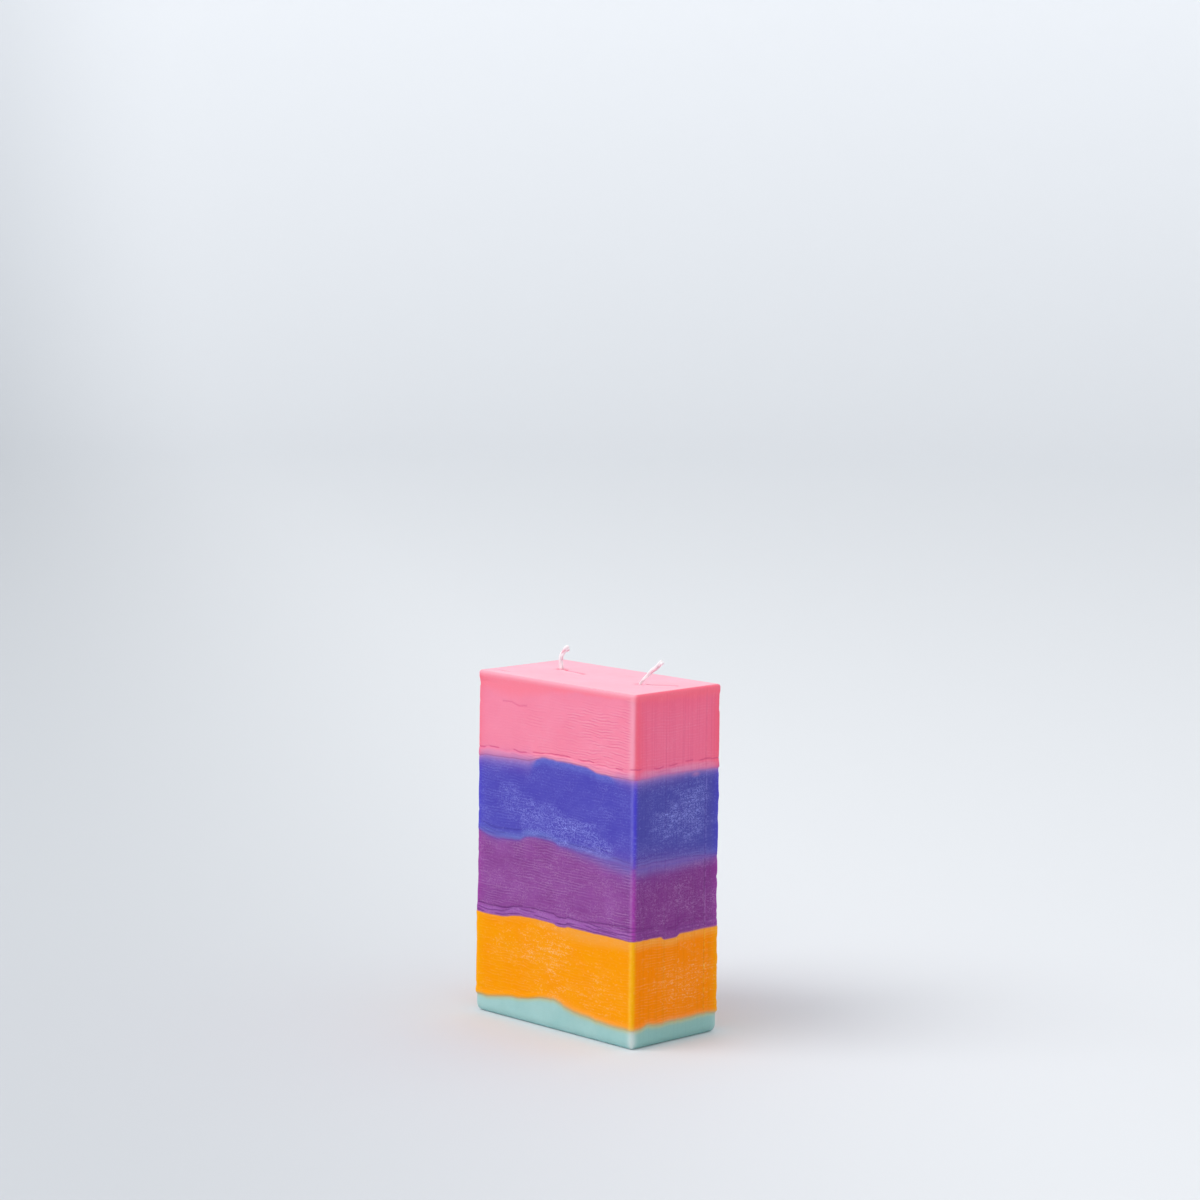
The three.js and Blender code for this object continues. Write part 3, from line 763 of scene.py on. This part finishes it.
class Shell:
    """A closed mesh that grows by points with their masks, and faces."""

    def __init__(self):
        self.points, self.faces, self.count = [], [], 0
        self.masks = {kind: [] for kind in MASKS}

    def add_points(self, points, masks=None):
        self.points.append(points.reshape(-1, 3))
        for kind in MASKS:
            values = np.zeros(points.shape[:-1]) if masks is None else masks[kind]
            self.masks[kind].append(np.broadcast_to(values, points.shape[:-1]).reshape(-1))
        numbers = self.count + np.arange(points[..., 0].size).reshape(points.shape[:-1])
        self.count += numbers.size
        return numbers

    def add_faces(self, faces, face_down=False):
        faces = faces.reshape(-1, faces.shape[-1])
        self.faces.append(faces[:, ::-1] if face_down else faces)

    def close_seam(self, ring, numbers, level, face_down):
        """Hidden surface inside a seam, drawn in to a sunken middle."""
        outer = numbers
        for share in INNER_RING_SHARES:
            z = level + (ring[:, 2] - level) * share + POUR_SINK * (1 - share ** 2)
            inner = self.add_points(np.stack([ring[:, 0] * share, ring[:, 1] * share, z], -1))
            self.add_faces(quads(outer, inner), face_down)
            outer = inner
        middle = self.add_points(np.array([[0, 0, level + POUR_SINK]], float))
        fan = np.stack([outer, np.roll(outer, -1), np.full(STATIONS, middle[0])], axis=-1)
        self.add_faces(fan, face_down)

    def close_face(self, ring, numbers, surface, face_down):
        """Level surface of the top or the base inside a ring of the wall."""
        grid, border = face_grid(ring)
        z, masks = surface(grid[..., 0], grid[..., 1])
        inside = border < 0
        grid[..., 2] = z
        inner = self.add_points(grid[inside], {kind: masks[kind][inside] for kind in MASKS})
        number = np.empty(border.shape, int)
        number[inside] = inner
        number[~inside] = numbers[border[~inside]]
        cells = np.stack([number[:-1, :-1], number[:-1, 1:], number[1:, 1:], number[1:, :-1]], -1)
        self.add_faces(cells, face_down)

    def build(self, name):
        faces = [face for group in self.faces for face in group.tolist()]
        fields = {kind: np.clip(np.concatenate(self.masks[kind]), 0, 1) for kind in MASKS}
        return put_mesh(name, np.concatenate(self.points), faces, WAX_SHARP_ANGLE, fields)


# Rows in the rounded edges, and in the base's short wall
BASE_ROUND_ROWS = 15
BASE_WALL_ROWS = 16
TOP_ROUND_ROWS = 7


def base_round():
    """Heights and insets of the rounded edge from the base up to the wall."""
    angle = np.linspace(0, math.pi / 2, BASE_ROUND_ROWS)
    z = BASE_ROUND_HEIGHT * (1 - np.cos(angle))
    return z, -BASE_ROUND_WIDTH * (1 - np.sin(angle))


# Distance to a seam that the base and the top don't have, out of reach of a seam's marks
NO_SEAM = 9


def make_pour(pour, name):
    shell = Shell()
    low_seam, high_seam = SEAMS.get(pour - 1), SEAMS.get(pour)
    inset = np.zeros(1)
    if pour == 1:
        round_z, round_inset = base_round()
        shares = np.linspace(0, 1, BASE_WALL_ROWS)[1:]
        rows = [np.full(STATIONS, z) for z in round_z]
        rows += [BASE_ROUND_HEIGHT + (high_seam - BASE_ROUND_HEIGHT) * s for s in shares]
        z = np.array(rows)
        inset = np.concatenate([round_inset, np.zeros(len(shares))])[:, None]
    elif pour == 5:
        round_start = BODY_HEIGHT - TOP_EDGE_RADIUS
        straight = wall_rows(low_seam, np.full(STATIONS, round_start), fine_top=4.0, step=0.42)
        angle = np.linspace(0, math.pi / 2, TOP_ROUND_ROWS)[1:]
        round_z = round_start + TOP_EDGE_RADIUS * np.sin(angle)
        z = np.concatenate([straight, np.tile(round_z[:, None], (1, STATIONS))])
        round_inset = -TOP_EDGE_RADIUS * (1 - np.cos(angle))
        inset = np.concatenate([np.zeros(len(straight)), round_inset])[:, None]
    else:
        z = wall_rows(low_seam, high_seam, fine_top=1.0, step=0.34)
    low = z + NO_SEAM if pour == 1 else z - low_seam
    high = BODY_HEIGHT + NO_SEAM - z if pour == 5 else high_seam - z
    relief, masks = wall_surface(pour, z, low, high)
    ring_points = dressed_wall(z, inset + relief)
    numbers = shell.add_points(ring_points, masks)
    for lower, upper in zip(numbers, numbers[1:]):
        shell.add_faces(quads(lower, upper))
    if pour == 1:
        shell.close_face(ring_points[0], numbers[0], base_surface, face_down=True)
    else:
        shell.close_seam(ring_points[0], numbers[0], LEVELS[pour - 1], face_down=True)
    if pour == 5:
        shell.close_face(ring_points[-1], numbers[-1], top_surface, face_down=False)
    else:
        shell.close_seam(ring_points[-1], numbers[-1], LEVELS[pour], face_down=False)
    return shell.build(name)


# Finishes

def linear(code):
    """An sRGB hex colour as linear RGBA."""
    channels = [int(code[i:i + 2], 16) / 255 for i in (1, 3, 5)]
    return (*[c / 12.92 if c <= 0.04045 else ((c + 0.055) / 1.055) ** 2.4 for c in channels], 1)


def add(tree, kind, inputs, **settings):
    """Adds a shader node with its settings, input values and links. A node given as an input
    stands for its first output."""
    made = tree.nodes.new("ShaderNode" + kind)
    for name, value in settings.items():
        setattr(made, name, value)
    for key, value in inputs.items():
        source = value.outputs[0] if isinstance(value, bpy.types.Node) else value
        if isinstance(source, bpy.types.NodeSocket):
            tree.links.new(source, made.inputs[key])
        else:
            made.inputs[key].default_value = source
    return made


def new_tree(name):
    """A material with an empty node tree, the tree and the place on the object."""
    material = bpy.data.materials.new(name)
    material.use_nodes = True
    tree = material.node_tree
    tree.nodes.clear()
    return material, tree, add(tree, "TexCoord", {}).outputs["Object"]


# Paraffin wax, cast cold: a satin skin over a milky body, so light softens in it. Its dye
# clouds over a centimetre or so, fine ripples lie level along it, and pale bloom has come up
# on it in short wandering strokes.
CLOUD_SIZE = 13
RIPPLE_PITCH = 1.22
RIPPLE_WANDER = 8.0
RIPPLE_BEND_SIZE = 11
RIPPLE_BREAK_SIZE = 1.7
STROKE_SIZE = 0.95
STROKE_STRETCH = 1.5
CLUSTER_SIZE = 1.1
CLUSTER_STRETCH = 5
HAZE_SIZE = 8
SPECK_SIZE = 0.8
GRAIN_SIZE = 0.4
DRAWN_LINE_SIZE = 0.85
BUMP_DEPTH = 0.055
PATTERN_ROUGHNESS = 0.55
HAZE_STRETCH = 1.6
SPECK_STRETCH = 1.5
BREAK_STRETCH = 5
DRAWN_STRETCH = 90
# How far from the noise's middle value a stroke starts to show, and shows in full
STROKE_EDGES = (0.075, 0.015)
WAX_IOR = 1.44
WAX_SUBSURFACE = 0.16
WAX_SCATTER = 0.8
WAX_SCATTER_RADIUS = (1.0, 0.55, 0.45)
# The wave node lays this many radians on each unit of its scale
WAVE_RADIANS = 20


def cast_wax(name, tones, below=None, above=None, haze=0.08, gloss=(0.42, 0.56), shine=0.14,
             bumps=1.0, crowd=0.36, bare=0.25):
    """Wax of one pour. below and above are the main tones of the pours that it runs into,
    haze is how pale the bloom's patches are between the strokes, gloss the roughness outside
    and inside its clusters, shine the strength of the reflections and bumps that of the small
    marks. crowd sets where the clusters start and bare how much shows between them."""
    material, tree, place = new_tree(name)
    read = {kind: add(tree, "Attribute", {}, attribute_name=kind).outputs["Fac"]
            for kind in MASKS}

    def pattern(size, stretch=1, detail=2.0, upright=1):
        """Cloudy noise with cells of a size in mm, drawn out level or upright."""
        scale = [1 / (size * MM * share) for share in (stretch, stretch, upright)]
        drawn = add(tree, "Mapping", {"Vector": place, "Scale": scale})
        return add(tree, "TexNoise", {"Vector": drawn, "Scale": 1.0, "Detail": detail,
                                      "Roughness": PATTERN_ROUGHNESS}).outputs["Fac"]

    def marks(value, start, full, within):
        """Marks that come up as a value goes from start to full, held inside a mask."""
        shown = add(tree, "MapRange", {"Value": value, "From Min": start, "From Max": full})
        return add(tree, "Math", {0: shown, 1: within}, operation="MULTIPLY")

    clouding = add(tree, "MapRange", {"Value": pattern(CLOUD_SIZE, detail=3.0),
                                      "From Min": 0.38, "From Max": 0.64})
    grain = pattern(GRAIN_SIZE)

    # Ripples: level bands that wander and break off. Their furrows take painted shade and their
    # crests a painted highlight.
    wave_scale = 2 * math.pi / (WAVE_RADIANS * RIPPLE_PITCH * MM)
    wave = add(tree, "TexWave", {
        "Vector": place, "Scale": wave_scale, "Distortion": RIPPLE_WANDER, "Detail": 2.0,
        "Detail Scale": 1 / (RIPPLE_BEND_SIZE * MM * wave_scale), "Detail Roughness": 0.5},
        wave_type="BANDS", bands_direction="Z", wave_profile="SIN").outputs["Fac"]
    rippled = marks(pattern(RIPPLE_BREAK_SIZE, BREAK_STRETCH, detail=1.0), 0.4, 0.56,
                    read["rippled"])
    furrow = marks(wave, 0.45, 1.0, rippled)
    crest_highlight = marks(wave, 0.45, 0.0, rippled)

    # Bloom: strokes run along the middle values of a noise, in clusters inside hazy patches
    from_middle = add(tree, "Math", {0: pattern(STROKE_SIZE, STROKE_STRETCH, detail=1.0),
                                     1: 0.5}, operation="SUBTRACT")
    from_middle = add(tree, "Math", {0: from_middle}, operation="ABSOLUTE")
    cluster = add(tree, "MapRange", {"Value": pattern(CLUSTER_SIZE, CLUSTER_STRETCH),
                                     "From Min": crowd, "From Max": crowd + 0.2,
                                     "To Min": bare})
    uneven = add(tree, "Math", {0: pattern(HAZE_SIZE, HAZE_STRETCH), 1: 0.9, 2: -0.45},
                 operation="MULTIPLY_ADD")
    uneven = add(tree, "Math", {0: uneven, 1: read["bloom"]}, operation="ADD")
    bloomed = add(tree, "MapRange", {"Value": read["bloom"], "From Max": 0.5})
    patches = marks(uneven, 0.15, 0.9, bloomed)
    crowded = add(tree, "Math", {0: cluster, 1: patches}, operation="MULTIPLY")
    strokes = marks(from_middle, *STROKE_EDGES, crowded)
    specks = marks(pattern(SPECK_SIZE, SPECK_STRETCH, detail=0.0), 0.66, 0.76, bloomed)

    # Upright lines on the end walls
    lines = marks(pattern(DRAWN_LINE_SIZE, detail=1.0, upright=DRAWN_STRETCH), 0.5, 0.35,
                  read["upright"])

    # Each tone lies over the ones before it: where, how strongly, and which
    layers = [
        (clouding, 1.0, tones["deep"]),
        # Painted shade: the end walls take a deeper, darker tone
        (read["upright"], 0.85, tones["end"]),
        (read["over"], 0.9, tones["over"]),
        # Paling below a seam, and on the pink pour painted glow under its top edge and round the
        # top's border
        (read["under"], 0.9, tones["under"]),
        # Painted shade in the ripples' furrows and a painted highlight on their crests
        (furrow, 0.27, tones["crease"]),
        (crest_highlight, 0.36, tones["bloom"]),
        # Painted shade in the drawn lines and the hollows
        (lines, 0.2, tones["crease"]),
        (read["hollow"], 0.75, tones["crease"]),
        # Painted glow where light comes through the wax
        (read["vivid"], 0.85, tones["vivid"]),
        (patches, haze, tones["bloom"]),
        (strokes, 1.0, tones["bloom"]),
        (specks, 0.22, tones["bloom"]),
        # Painted highlights along the near and top edges and on the groove's bank, and pale beads on
        # the end lines
        (read["pale"], 0.75, tones["pale"]),
        # Painted shade in the creases and the groove
        (read["crease"], 0.9, tones["crease"]),
    ]
    if below:
        layers.append((read["low_mix"], 1.0, below))
    if above:
        layers.append((read["high_mix"], 1.0, above))
    colour = linear(tones["main"])
    for mask, strength, tone in layers:
        share = add(tree, "Math", {0: mask, 1: strength}, operation="MULTIPLY")
        colour = add(tree, "Mix", {0: share, 6: colour, 7: linear(tone)},
                     data_type="RGBA").outputs[2]

    # The same marks stand up from the wax or sink into it
    height = grain
    for mask, rise in ((strokes, 1.1), (furrow, -1.0), (lines, -0.5)):
        height = add(tree, "Math", {0: mask, 1: rise, 2: height}, operation="MULTIPLY_ADD")
    bump = add(tree, "Bump", {"Height": height, "Distance": BUMP_DEPTH * MM,
                              "Strength": bumps})
    roughness = add(tree, "MapRange", {"Value": cluster, "To Min": gloss[0],
                                       "To Max": gloss[1]})
    surface = add(tree, "BsdfPrincipled", {
        "Base Color": colour, "Roughness": roughness, "Normal": bump, "IOR": WAX_IOR,
        "Specular IOR Level": shine, "Subsurface Weight": WAX_SUBSURFACE,
        "Subsurface Radius": WAX_SCATTER_RADIUS, "Subsurface Scale": WAX_SCATTER * MM})
    add(tree, "OutputMaterial", {"Surface": surface})
    return material


# Tones: end is painted shade on the end walls, vivid painted glow, pale mostly painted highlights
# and crease painted shade
MINT = {"main": "#A5CECC", "deep": "#9CC8C6", "end": "#8DBBB5", "over": "#A4CDCB",
        "under": "#B6C6A2", "vivid": "#BAD6D4", "bloom": "#BAD8D6", "pale": "#DDE4E2",
        "crease": "#86B4B2"}
ORANGE = {"main": "#FF9E00", "deep": "#FF9A00", "end": "#FF8500", "over": "#CFA028",
          "under": "#F8A544", "vivid": "#FFB60C", "bloom": "#FFCB8C", "pale": "#FFC440",
          "crease": "#E67E00"}
PURPLE = {"main": "#924C9B", "deep": "#873F8E", "end": "#7C2F80", "over": "#9E5CAE",
          "under": "#8872B2", "vivid": "#A838A8", "bloom": "#C092C8", "pale": "#B87AC0",
          "crease": "#5E226C"}
BLUE = {"main": "#524DB7", "deep": "#4D46B3", "end": "#4A4AA1", "over": "#6876C4",
        "under": "#646CC8", "vivid": "#4C42D4", "bloom": "#999EEB", "pale": "#8A86DA",
        "crease": "#383090"}
PINK = {"main": "#FB8CA8", "deep": "#F988A4", "end": "#F46E92", "over": "#EA96B6",
        "under": "#FF8297", "vivid": "#FF5E76", "bloom": "#FDB6C8", "pale": "#FDBACB",
        "crease": "#DA4E7E"}
# The pink face that lay on the floor of the mould came out smooth and a little glossy. It
# takes the polygons that face up within this height of the top.
FACE_HEIGHT = 1.3
FACE_LEVEL = 0.8
# Its paler tones are painted light: the sheen of the top and the brighter light from above
PINK_FACE = {**PINK, "main": "#FFB3C8", "deep": "#FFAEC3", "vivid": "#F4607C",
             "pale": "#FFCBD9", "crease": "#D45A82"}

# Dye, piece, solid that it stands for, tones, and how each one meets its neighbours
pours = [
    ("mint", "mint_base", "mint_base_layer", MINT, {"above": ORANGE["over"]}),
    ("orange", "orange_pour", "orange_layer", ORANGE,
     {"below": MINT["main"], "above": PURPLE["main"], "haze": 0.03, "shine": 0.03,
      "crowd": 0.47, "bare": 0.0}),
    ("purple", "purple_pour", "purple_layer", PURPLE,
     {"below": ORANGE["main"], "above": BLUE["main"]}),
    ("blue", "blue_pour", "blue_layer", BLUE, {"below": PURPLE["main"], "above": PINK["over"]}),
    ("pink", "pink_top", "pink_top_layer", PINK, {"below": BLUE["main"]}),
]
for pour, (dye, name, node, tones, neighbours) in enumerate(pours, start=1):
    piece = make_pour(pour, name)
    piece.data.materials.append(cast_wax("cast_paraffin_" + dye, tones, **neighbours))
    if pour == 5:
        piece.data.materials.append(cast_wax("cast_paraffin_pink_face", PINK_FACE,
                                             gloss=(0.34, 0.38), shine=0.4, bumps=0.02))
        for face in piece.data.polygons:
            if (face.center.z > (BODY_HEIGHT - FACE_HEIGHT) * MM
                    and face.normal.z > FACE_LEVEL):
                face.material_index = 1
    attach(piece, "root")
    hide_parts(node)


# Wicks of plaited cotton

STRANDS = 3
PLAIT_PITCH = 15.0
PLAIT_WIDTH = 0.44
PLAIT_THICKNESS = 0.26
STRAND_RADIUS = 0.6
STRAND_SIDES = 10
STRAND_STEP = 0.35
# Plies that show round a strand, how deep they are and how fast they turn
PLIES = 4
PLY_DEPTH = 0.06
PLY_TURN = 2.6
# The strand painted pink where light bounces onto it from the pink top
BOUNCE_LIT_STRAND = 2
# How strongly the pink of the wax at the foot and the painted bounce light tint the cotton
STAIN_AND_BOUNCE = 0.5
# Cut fibres at the tip
FIBRES = 46
FIBRE_RADIUS = 0.075
FIBRE_SIDES = 5
FIBRE_POINTS = 5
TIP_ROUND = 0.7
COTTON_SHARP_ANGLE = 60


def spline(points, step):
    """Points about step apart on a smooth curve through the given ones."""
    points = np.array(points, float)
    padded = np.vstack([2 * points[0] - points[1], points, 2 * points[-1] - points[-2]])
    reach = []
    for a, b, c, d in zip(padded, padded[1:], padded[2:], padded[3:]):
        knots = running_total([math.sqrt(np.linalg.norm(q - p)) for p, q in
                               ((a, b), (b, c), (c, d))])
        count = max(round(np.linalg.norm(c - b) / step), 1)
        for t in knots[1] + (knots[2] - knots[1]) * np.arange(count) / count:
            values, span = [a, b, c, d], 1
            while len(values) > 1:
                values = [((knots[i + span] - t) * values[i] + (t - knots[i]) * values[i + 1])
                          / (knots[i + span] - knots[i]) for i in range(len(values) - 1)]
                span += 1
            reach.append(values[0])
    reach.append(points[-1])
    return np.array(reach)


# A direction that no strand or fibre runs along
CLEAR_OF_TUBES = (0.13, 0.97, 0.2)


def tube(points, radii, sides, start):
    """Vertices and faces of a closed tube round points, numbered from start."""
    points = np.asarray(points)
    heading = unit(np.gradient(points, axis=0))
    side = unit(np.cross(heading, CLEAR_OF_TUBES))
    other = np.cross(heading, side)
    angle = angles_round(sides)
    radii = np.broadcast_to(np.asarray(radii, float).T, (sides, len(points))).T
    rings = (points[:, None] + side[:, None] * (np.cos(angle) * radii)[..., None]
             + other[:, None] * (np.sin(angle) * radii)[..., None])
    vertices = np.concatenate([rings.reshape(-1, 3), points[:1], points[-1:]])
    numbers = start + np.arange(len(points) * sides).reshape(-1, sides)
    first, last = start + rings[..., 0].size, start + rings[..., 0].size + 1
    faces = []
    for lower, upper in zip(numbers, numbers[1:]):
        faces += quads(lower, upper).tolist()
    faces += [[first, b, a] for a, b in zip(numbers[0], np.roll(numbers[0], -1))]
    faces += [[last, a, b] for a, b in zip(numbers[-1], np.roll(numbers[-1], -1))]
    return vertices, faces


def make_wick(name, wick, seed):
    rng = np.random.default_rng(seed)
    foot = wick["foot"]
    stub = [(0, foot - 5), (0, foot - 2), (0, foot)]
    stub += [(along, foot + rise) for along, rise in wick["stub"]]
    run = spline([(0, WICK_TRIM), (0, foot / 2), *stub], STRAND_STEP)
    away = running_total(np.linalg.norm(np.diff(run, axis=0), axis=1))
    from_tip = away[-1] - away
    line = np.stack([run[:, 0], np.zeros(len(run)), run[:, 1]], axis=-1)
    heading = unit(np.gradient(line, axis=0))
    flat = np.array([0.0, 1.0, 0.0])
    side = np.cross(flat, heading)

    # The cord is drawn together at its foot and opens towards its tip
    fullness = wick["pinch"] + (1 - wick["pinch"]) * smooth(run[:, 1] - foot, 0.5, 7)
    opening = 1 + (wick["tuft"] - 0.8) * smooth(from_tip, 2.0, 0.3)
    parts, faces, stain_and_bounce_values, count = [], [], [], 0
    angle = angles_round(STRAND_SIDES)

    def add_part(part, stain_and_bounce):
        nonlocal count
        vertices, tube_faces = part
        parts.append(vertices)
        faces.extend(tube_faces)
        stain_and_bounce_values.append(np.broadcast_to(stain_and_bounce, len(vertices)))
        count += len(vertices)

    for strand in range(STRANDS):
        phase = 2 * math.pi * (from_tip / PLAIT_PITCH + strand / STRANDS) + wick["lay"]
        spread = fullness * opening
        centre = (line + side * (PLAIT_WIDTH * spread * np.sin(phase))[:, None]
                  + flat * (PLAIT_THICKNESS * spread * np.sin(2 * phase))[:, None])
        ply = 1 + PLY_DEPTH * np.cos(PLIES * angle[None, :] - away[:, None] * PLY_TURN)
        close = np.sqrt(np.clip(1 - np.clip(1 - from_tip / TIP_ROUND, 0, 1) ** 2, 0.02, 1))
        swell = 1 + wick["swell"] * smooth(from_tip, 2.6, 1.0)
        radii = STRAND_RADIUS * fullness * swell * close
        above = run[:, 1] - foot
        stain_and_bounce = STAIN_AND_BOUNCE * (1 - smooth(above, 0.1, 1.0)) * wick["blush"]
        # One strand is painted pink where light bounces onto it from the pink top
        if strand == BOUNCE_LIT_STRAND:
            shown = smooth(from_tip, 9, 6) * smooth(from_tip, 1.8, 3.0)
            stain_and_bounce = np.maximum(stain_and_bounce, STAIN_AND_BOUNCE * shown)
        ends = stain_and_bounce[[0, -1]]
        add_part(tube(centre, radii[:, None] * ply, STRAND_SIDES, count),
                 np.concatenate([np.repeat(stain_and_bounce, STRAND_SIDES), ends]))
    tip, out = line[-1], heading[-1]
    for _ in range(FIBRES):
        spin, lean = rng.uniform(0, 2 * math.pi), rng.uniform(0, 1) ** 0.7
        radial = side[-1] * math.cos(spin) + flat * math.sin(spin) * 0.8
        start = tip - out * rng.uniform(0.6, 1.0) + radial * lean * 0.85 * wick["tuft"]
        length = rng.uniform(0.55, 0.9)
        bend = rng.normal(0, 0.12, 3)
        share = np.linspace(0, 1, FIBRE_POINTS)[:, None]
        points = (start + (out * (1 - 0.45 * lean) + radial * 0.42 * lean) * length * share
                  + bend * share ** 2)
        add_part(tube(points, FIBRE_RADIUS * (1 - 0.5 * share), FIBRE_SIDES, count), 0.0)
    x, y, z = np.concatenate(parts).T
    x, y = turned(x, y, wick["lean_turn"])
    points = np.stack([wick["x"] + x, wick["y"] + y, z], axis=-1)
    return put_mesh(name, points, faces, COTTON_SHARP_ANGLE, {"pink_stain_and_bounce": np.concatenate(stain_and_bounce_values)})


# Cotton yarn, bleached and primed with clear wax: white with a slight gloss, and soaked with
# the pink pour's wax where it leaves the candle. One strand carries painted pink bounce light.
FIBRE_SIZE = 0.22
FIBRE_BUMP_DEPTH = 0.04
COTTON_ROUGHNESS = 0.62
COTTON_IOR = 1.46
COTTON_SUBSURFACE = 0.2
COTTON_SCATTER = 0.4


def waxed_cotton(name):
    material, tree, place = new_tree(name)
    fibre = add(tree, "TexNoise", {"Vector": place, "Scale": 1 / (FIBRE_SIZE * MM),
                                   "Detail": 3.0}).outputs["Fac"]
    shade = add(tree, "Mix", {0: fibre, 6: linear("#F6F0F3"), 7: linear("#FFFEFE")},
                data_type="RGBA").outputs[2]
    # Pink of the wax at the foot, and painted bounce light on one strand
    pink_stain_and_bounce = add(tree, "Attribute", {}, attribute_name="pink_stain_and_bounce").outputs["Fac"]
    colour = add(tree, "Mix", {0: pink_stain_and_bounce, 6: shade, 7: linear("#EE90AA")},
                 data_type="RGBA").outputs[2]
    bump = add(tree, "Bump", {"Height": fibre, "Distance": FIBRE_BUMP_DEPTH * MM})
    surface = add(tree, "BsdfPrincipled", {
        "Base Color": colour, "Roughness": COTTON_ROUGHNESS, "Normal": bump, "IOR": COTTON_IOR,
        "Subsurface Weight": COTTON_SUBSURFACE, "Subsurface Radius": (1, 0.9, 0.9),
        "Subsurface Scale": COTTON_SCATTER * MM})
    add(tree, "OutputMaterial", {"Surface": surface})
    return material


cotton = waxed_cotton("waxed_cotton_yarn")
for seed, (name, wick) in enumerate(WICKS.items(), start=700):
    piece = make_wick(name.replace("_wick", "_plaited_wick"), wick, seed)
    piece.data.materials.append(cotton)
    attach(piece, "root")
    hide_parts(name)


# Studio: a pale sweep of painted board, one large soft lamp and light from all round, in metres

FLOOR_RINGS = (0.02, 0.05, 0.1, 0.2, 0.4, 0.8, 1.4, 2.2, 3.0)
SWEEP_RADIUS = 1.0
SWEEP_ROWS = 13
SWEEP_TOP = 1.5
SWEEP_SIDES = 96


def make_sweep():
    rise_start = FLOOR_RINGS[-1]
    profile = [(radius, 0.0) for radius in FLOOR_RINGS]
    profile += [(rise_start + SWEEP_RADIUS * math.sin(angle), SWEEP_RADIUS * (1 - math.cos(angle)))
                for angle in np.linspace(0, math.pi / 2, SWEEP_ROWS)[1:]]
    profile.append((rise_start + SWEEP_RADIUS, SWEEP_TOP))
    vertices = [(0, 0, 0)]
    for radius, z in profile:
        vertices += [(radius * math.cos(turn), radius * math.sin(turn), z)
                     for turn in angles_round(SWEEP_SIDES)]
    first = np.arange(SWEEP_SIDES) + 1
    faces = [(0, a, b) for a, b in zip(first, np.roll(first, -1))]
    for ring in range(len(profile) - 1):
        lower = first + ring * SWEEP_SIDES
        faces += quads(lower, lower + SWEEP_SIDES)[:, ::-1].tolist()
    mesh = bpy.data.meshes.new("studio_sweep")
    mesh.from_pydata(vertices, [], faces)
    mesh.shade_smooth()
    return put("studio_sweep", mesh)


# The light falls off over the board from its bright side: how far along this heading from the
# candle the board is at its darkest and at its brightest. The heading is 0.87 long, so a metre
# along it counts as 0.87.
FALLOFF_HEADING = (0.46, 0.74, 0)
FALLOFF = (-0.27, 0.17)
BOARD_ROUGHNESS = 0.8
RISE_LIGHT = 0.26
RISE_LIGHT_HEIGHT = 0.8


def painted_board(name):
    """Matt white paint on a board. The rise behind is lit by itself, more so higher up."""
    material, tree, place = new_tree(name)
    along = add(tree, "VectorMath", {0: place, 1: FALLOFF_HEADING},
                operation="DOT_PRODUCT").outputs["Value"]
    bright = add(tree, "MapRange", {"Value": along, "From Min": FALLOFF[0],
                                    "From Max": FALLOFF[1]}, interpolation_type="SMOOTHSTEP")
    # Painted shade: the board's colour darkens away from its bright side
    colour = add(tree, "Mix", {0: bright, 6: linear("#C5C9CE"), 7: linear("#E4E7EB")},
                 data_type="RGBA").outputs[2]
    rise = add(tree, "SeparateXYZ", {"Vector": place}).outputs["Z"]
    lit = add(tree, "MapRange", {"Value": rise, "From Max": RISE_LIGHT_HEIGHT,
                                 "To Max": RISE_LIGHT})
    surface = add(tree, "BsdfPrincipled", {
        "Base Color": colour, "Roughness": BOARD_ROUGHNESS,
        "Emission Color": linear("#EEF1F5"), "Emission Strength": lit})
    add(tree, "OutputMaterial", {"Surface": surface})
    return material


sweep = make_sweep()
sweep.data.materials.append(painted_board("painted_board"))

# The surround is brighter on the side that the right end of the candle faces: strength away
# from it and on it
BRIGHT_SIDE = (0.8, 0.3, 0.5)
SURROUND = (0.46, 0.97)
SURROUND_COLOUR = (0.965, 0.975, 0.985, 1)
KEY_FROM = Vector((-0.45, -0.9, 1.2)).normalized()
KEY_AIM = Vector((0, 0, 0.07))
KEY_DISTANCE = 3.2
KEY_SIZE = 2.0
KEY_POWER = 53.0
KEY_COLOUR = (1.0, 0.99, 0.98)
key = put("key_softbox", bpy.data.lights.new("key_softbox", "AREA"))
key.data.shape = "SQUARE"
key.data.size = KEY_SIZE
key.data.energy = KEY_POWER
key.data.color = KEY_COLOUR
key.location = KEY_FROM * KEY_DISTANCE + KEY_AIM
key.rotation_mode = "QUATERNION"
key.rotation_quaternion = KEY_FROM.to_track_quat("Z", "Y")

world = bpy.data.worlds.new("studio_surround")
world.use_nodes = True
tree = world.node_tree
tree.nodes.clear()
place = add(tree, "TexCoord", {}).outputs["Generated"]
facing = add(tree, "VectorMath", {0: place, 1: BRIGHT_SIDE},
             operation="DOT_PRODUCT").outputs["Value"]
strength = add(tree, "MapRange", {"Value": facing, "From Min": -1.0, "To Min": SURROUND[0],
                                  "To Max": SURROUND[1]})
surround = add(tree, "Background", {"Color": SURROUND_COLOUR, "Strength": strength})
add(tree, "OutputWorld", {"Surface": surround})
bpy.context.scene.world = world
bpy.context.scene.view_settings.view_transform = "Standard"
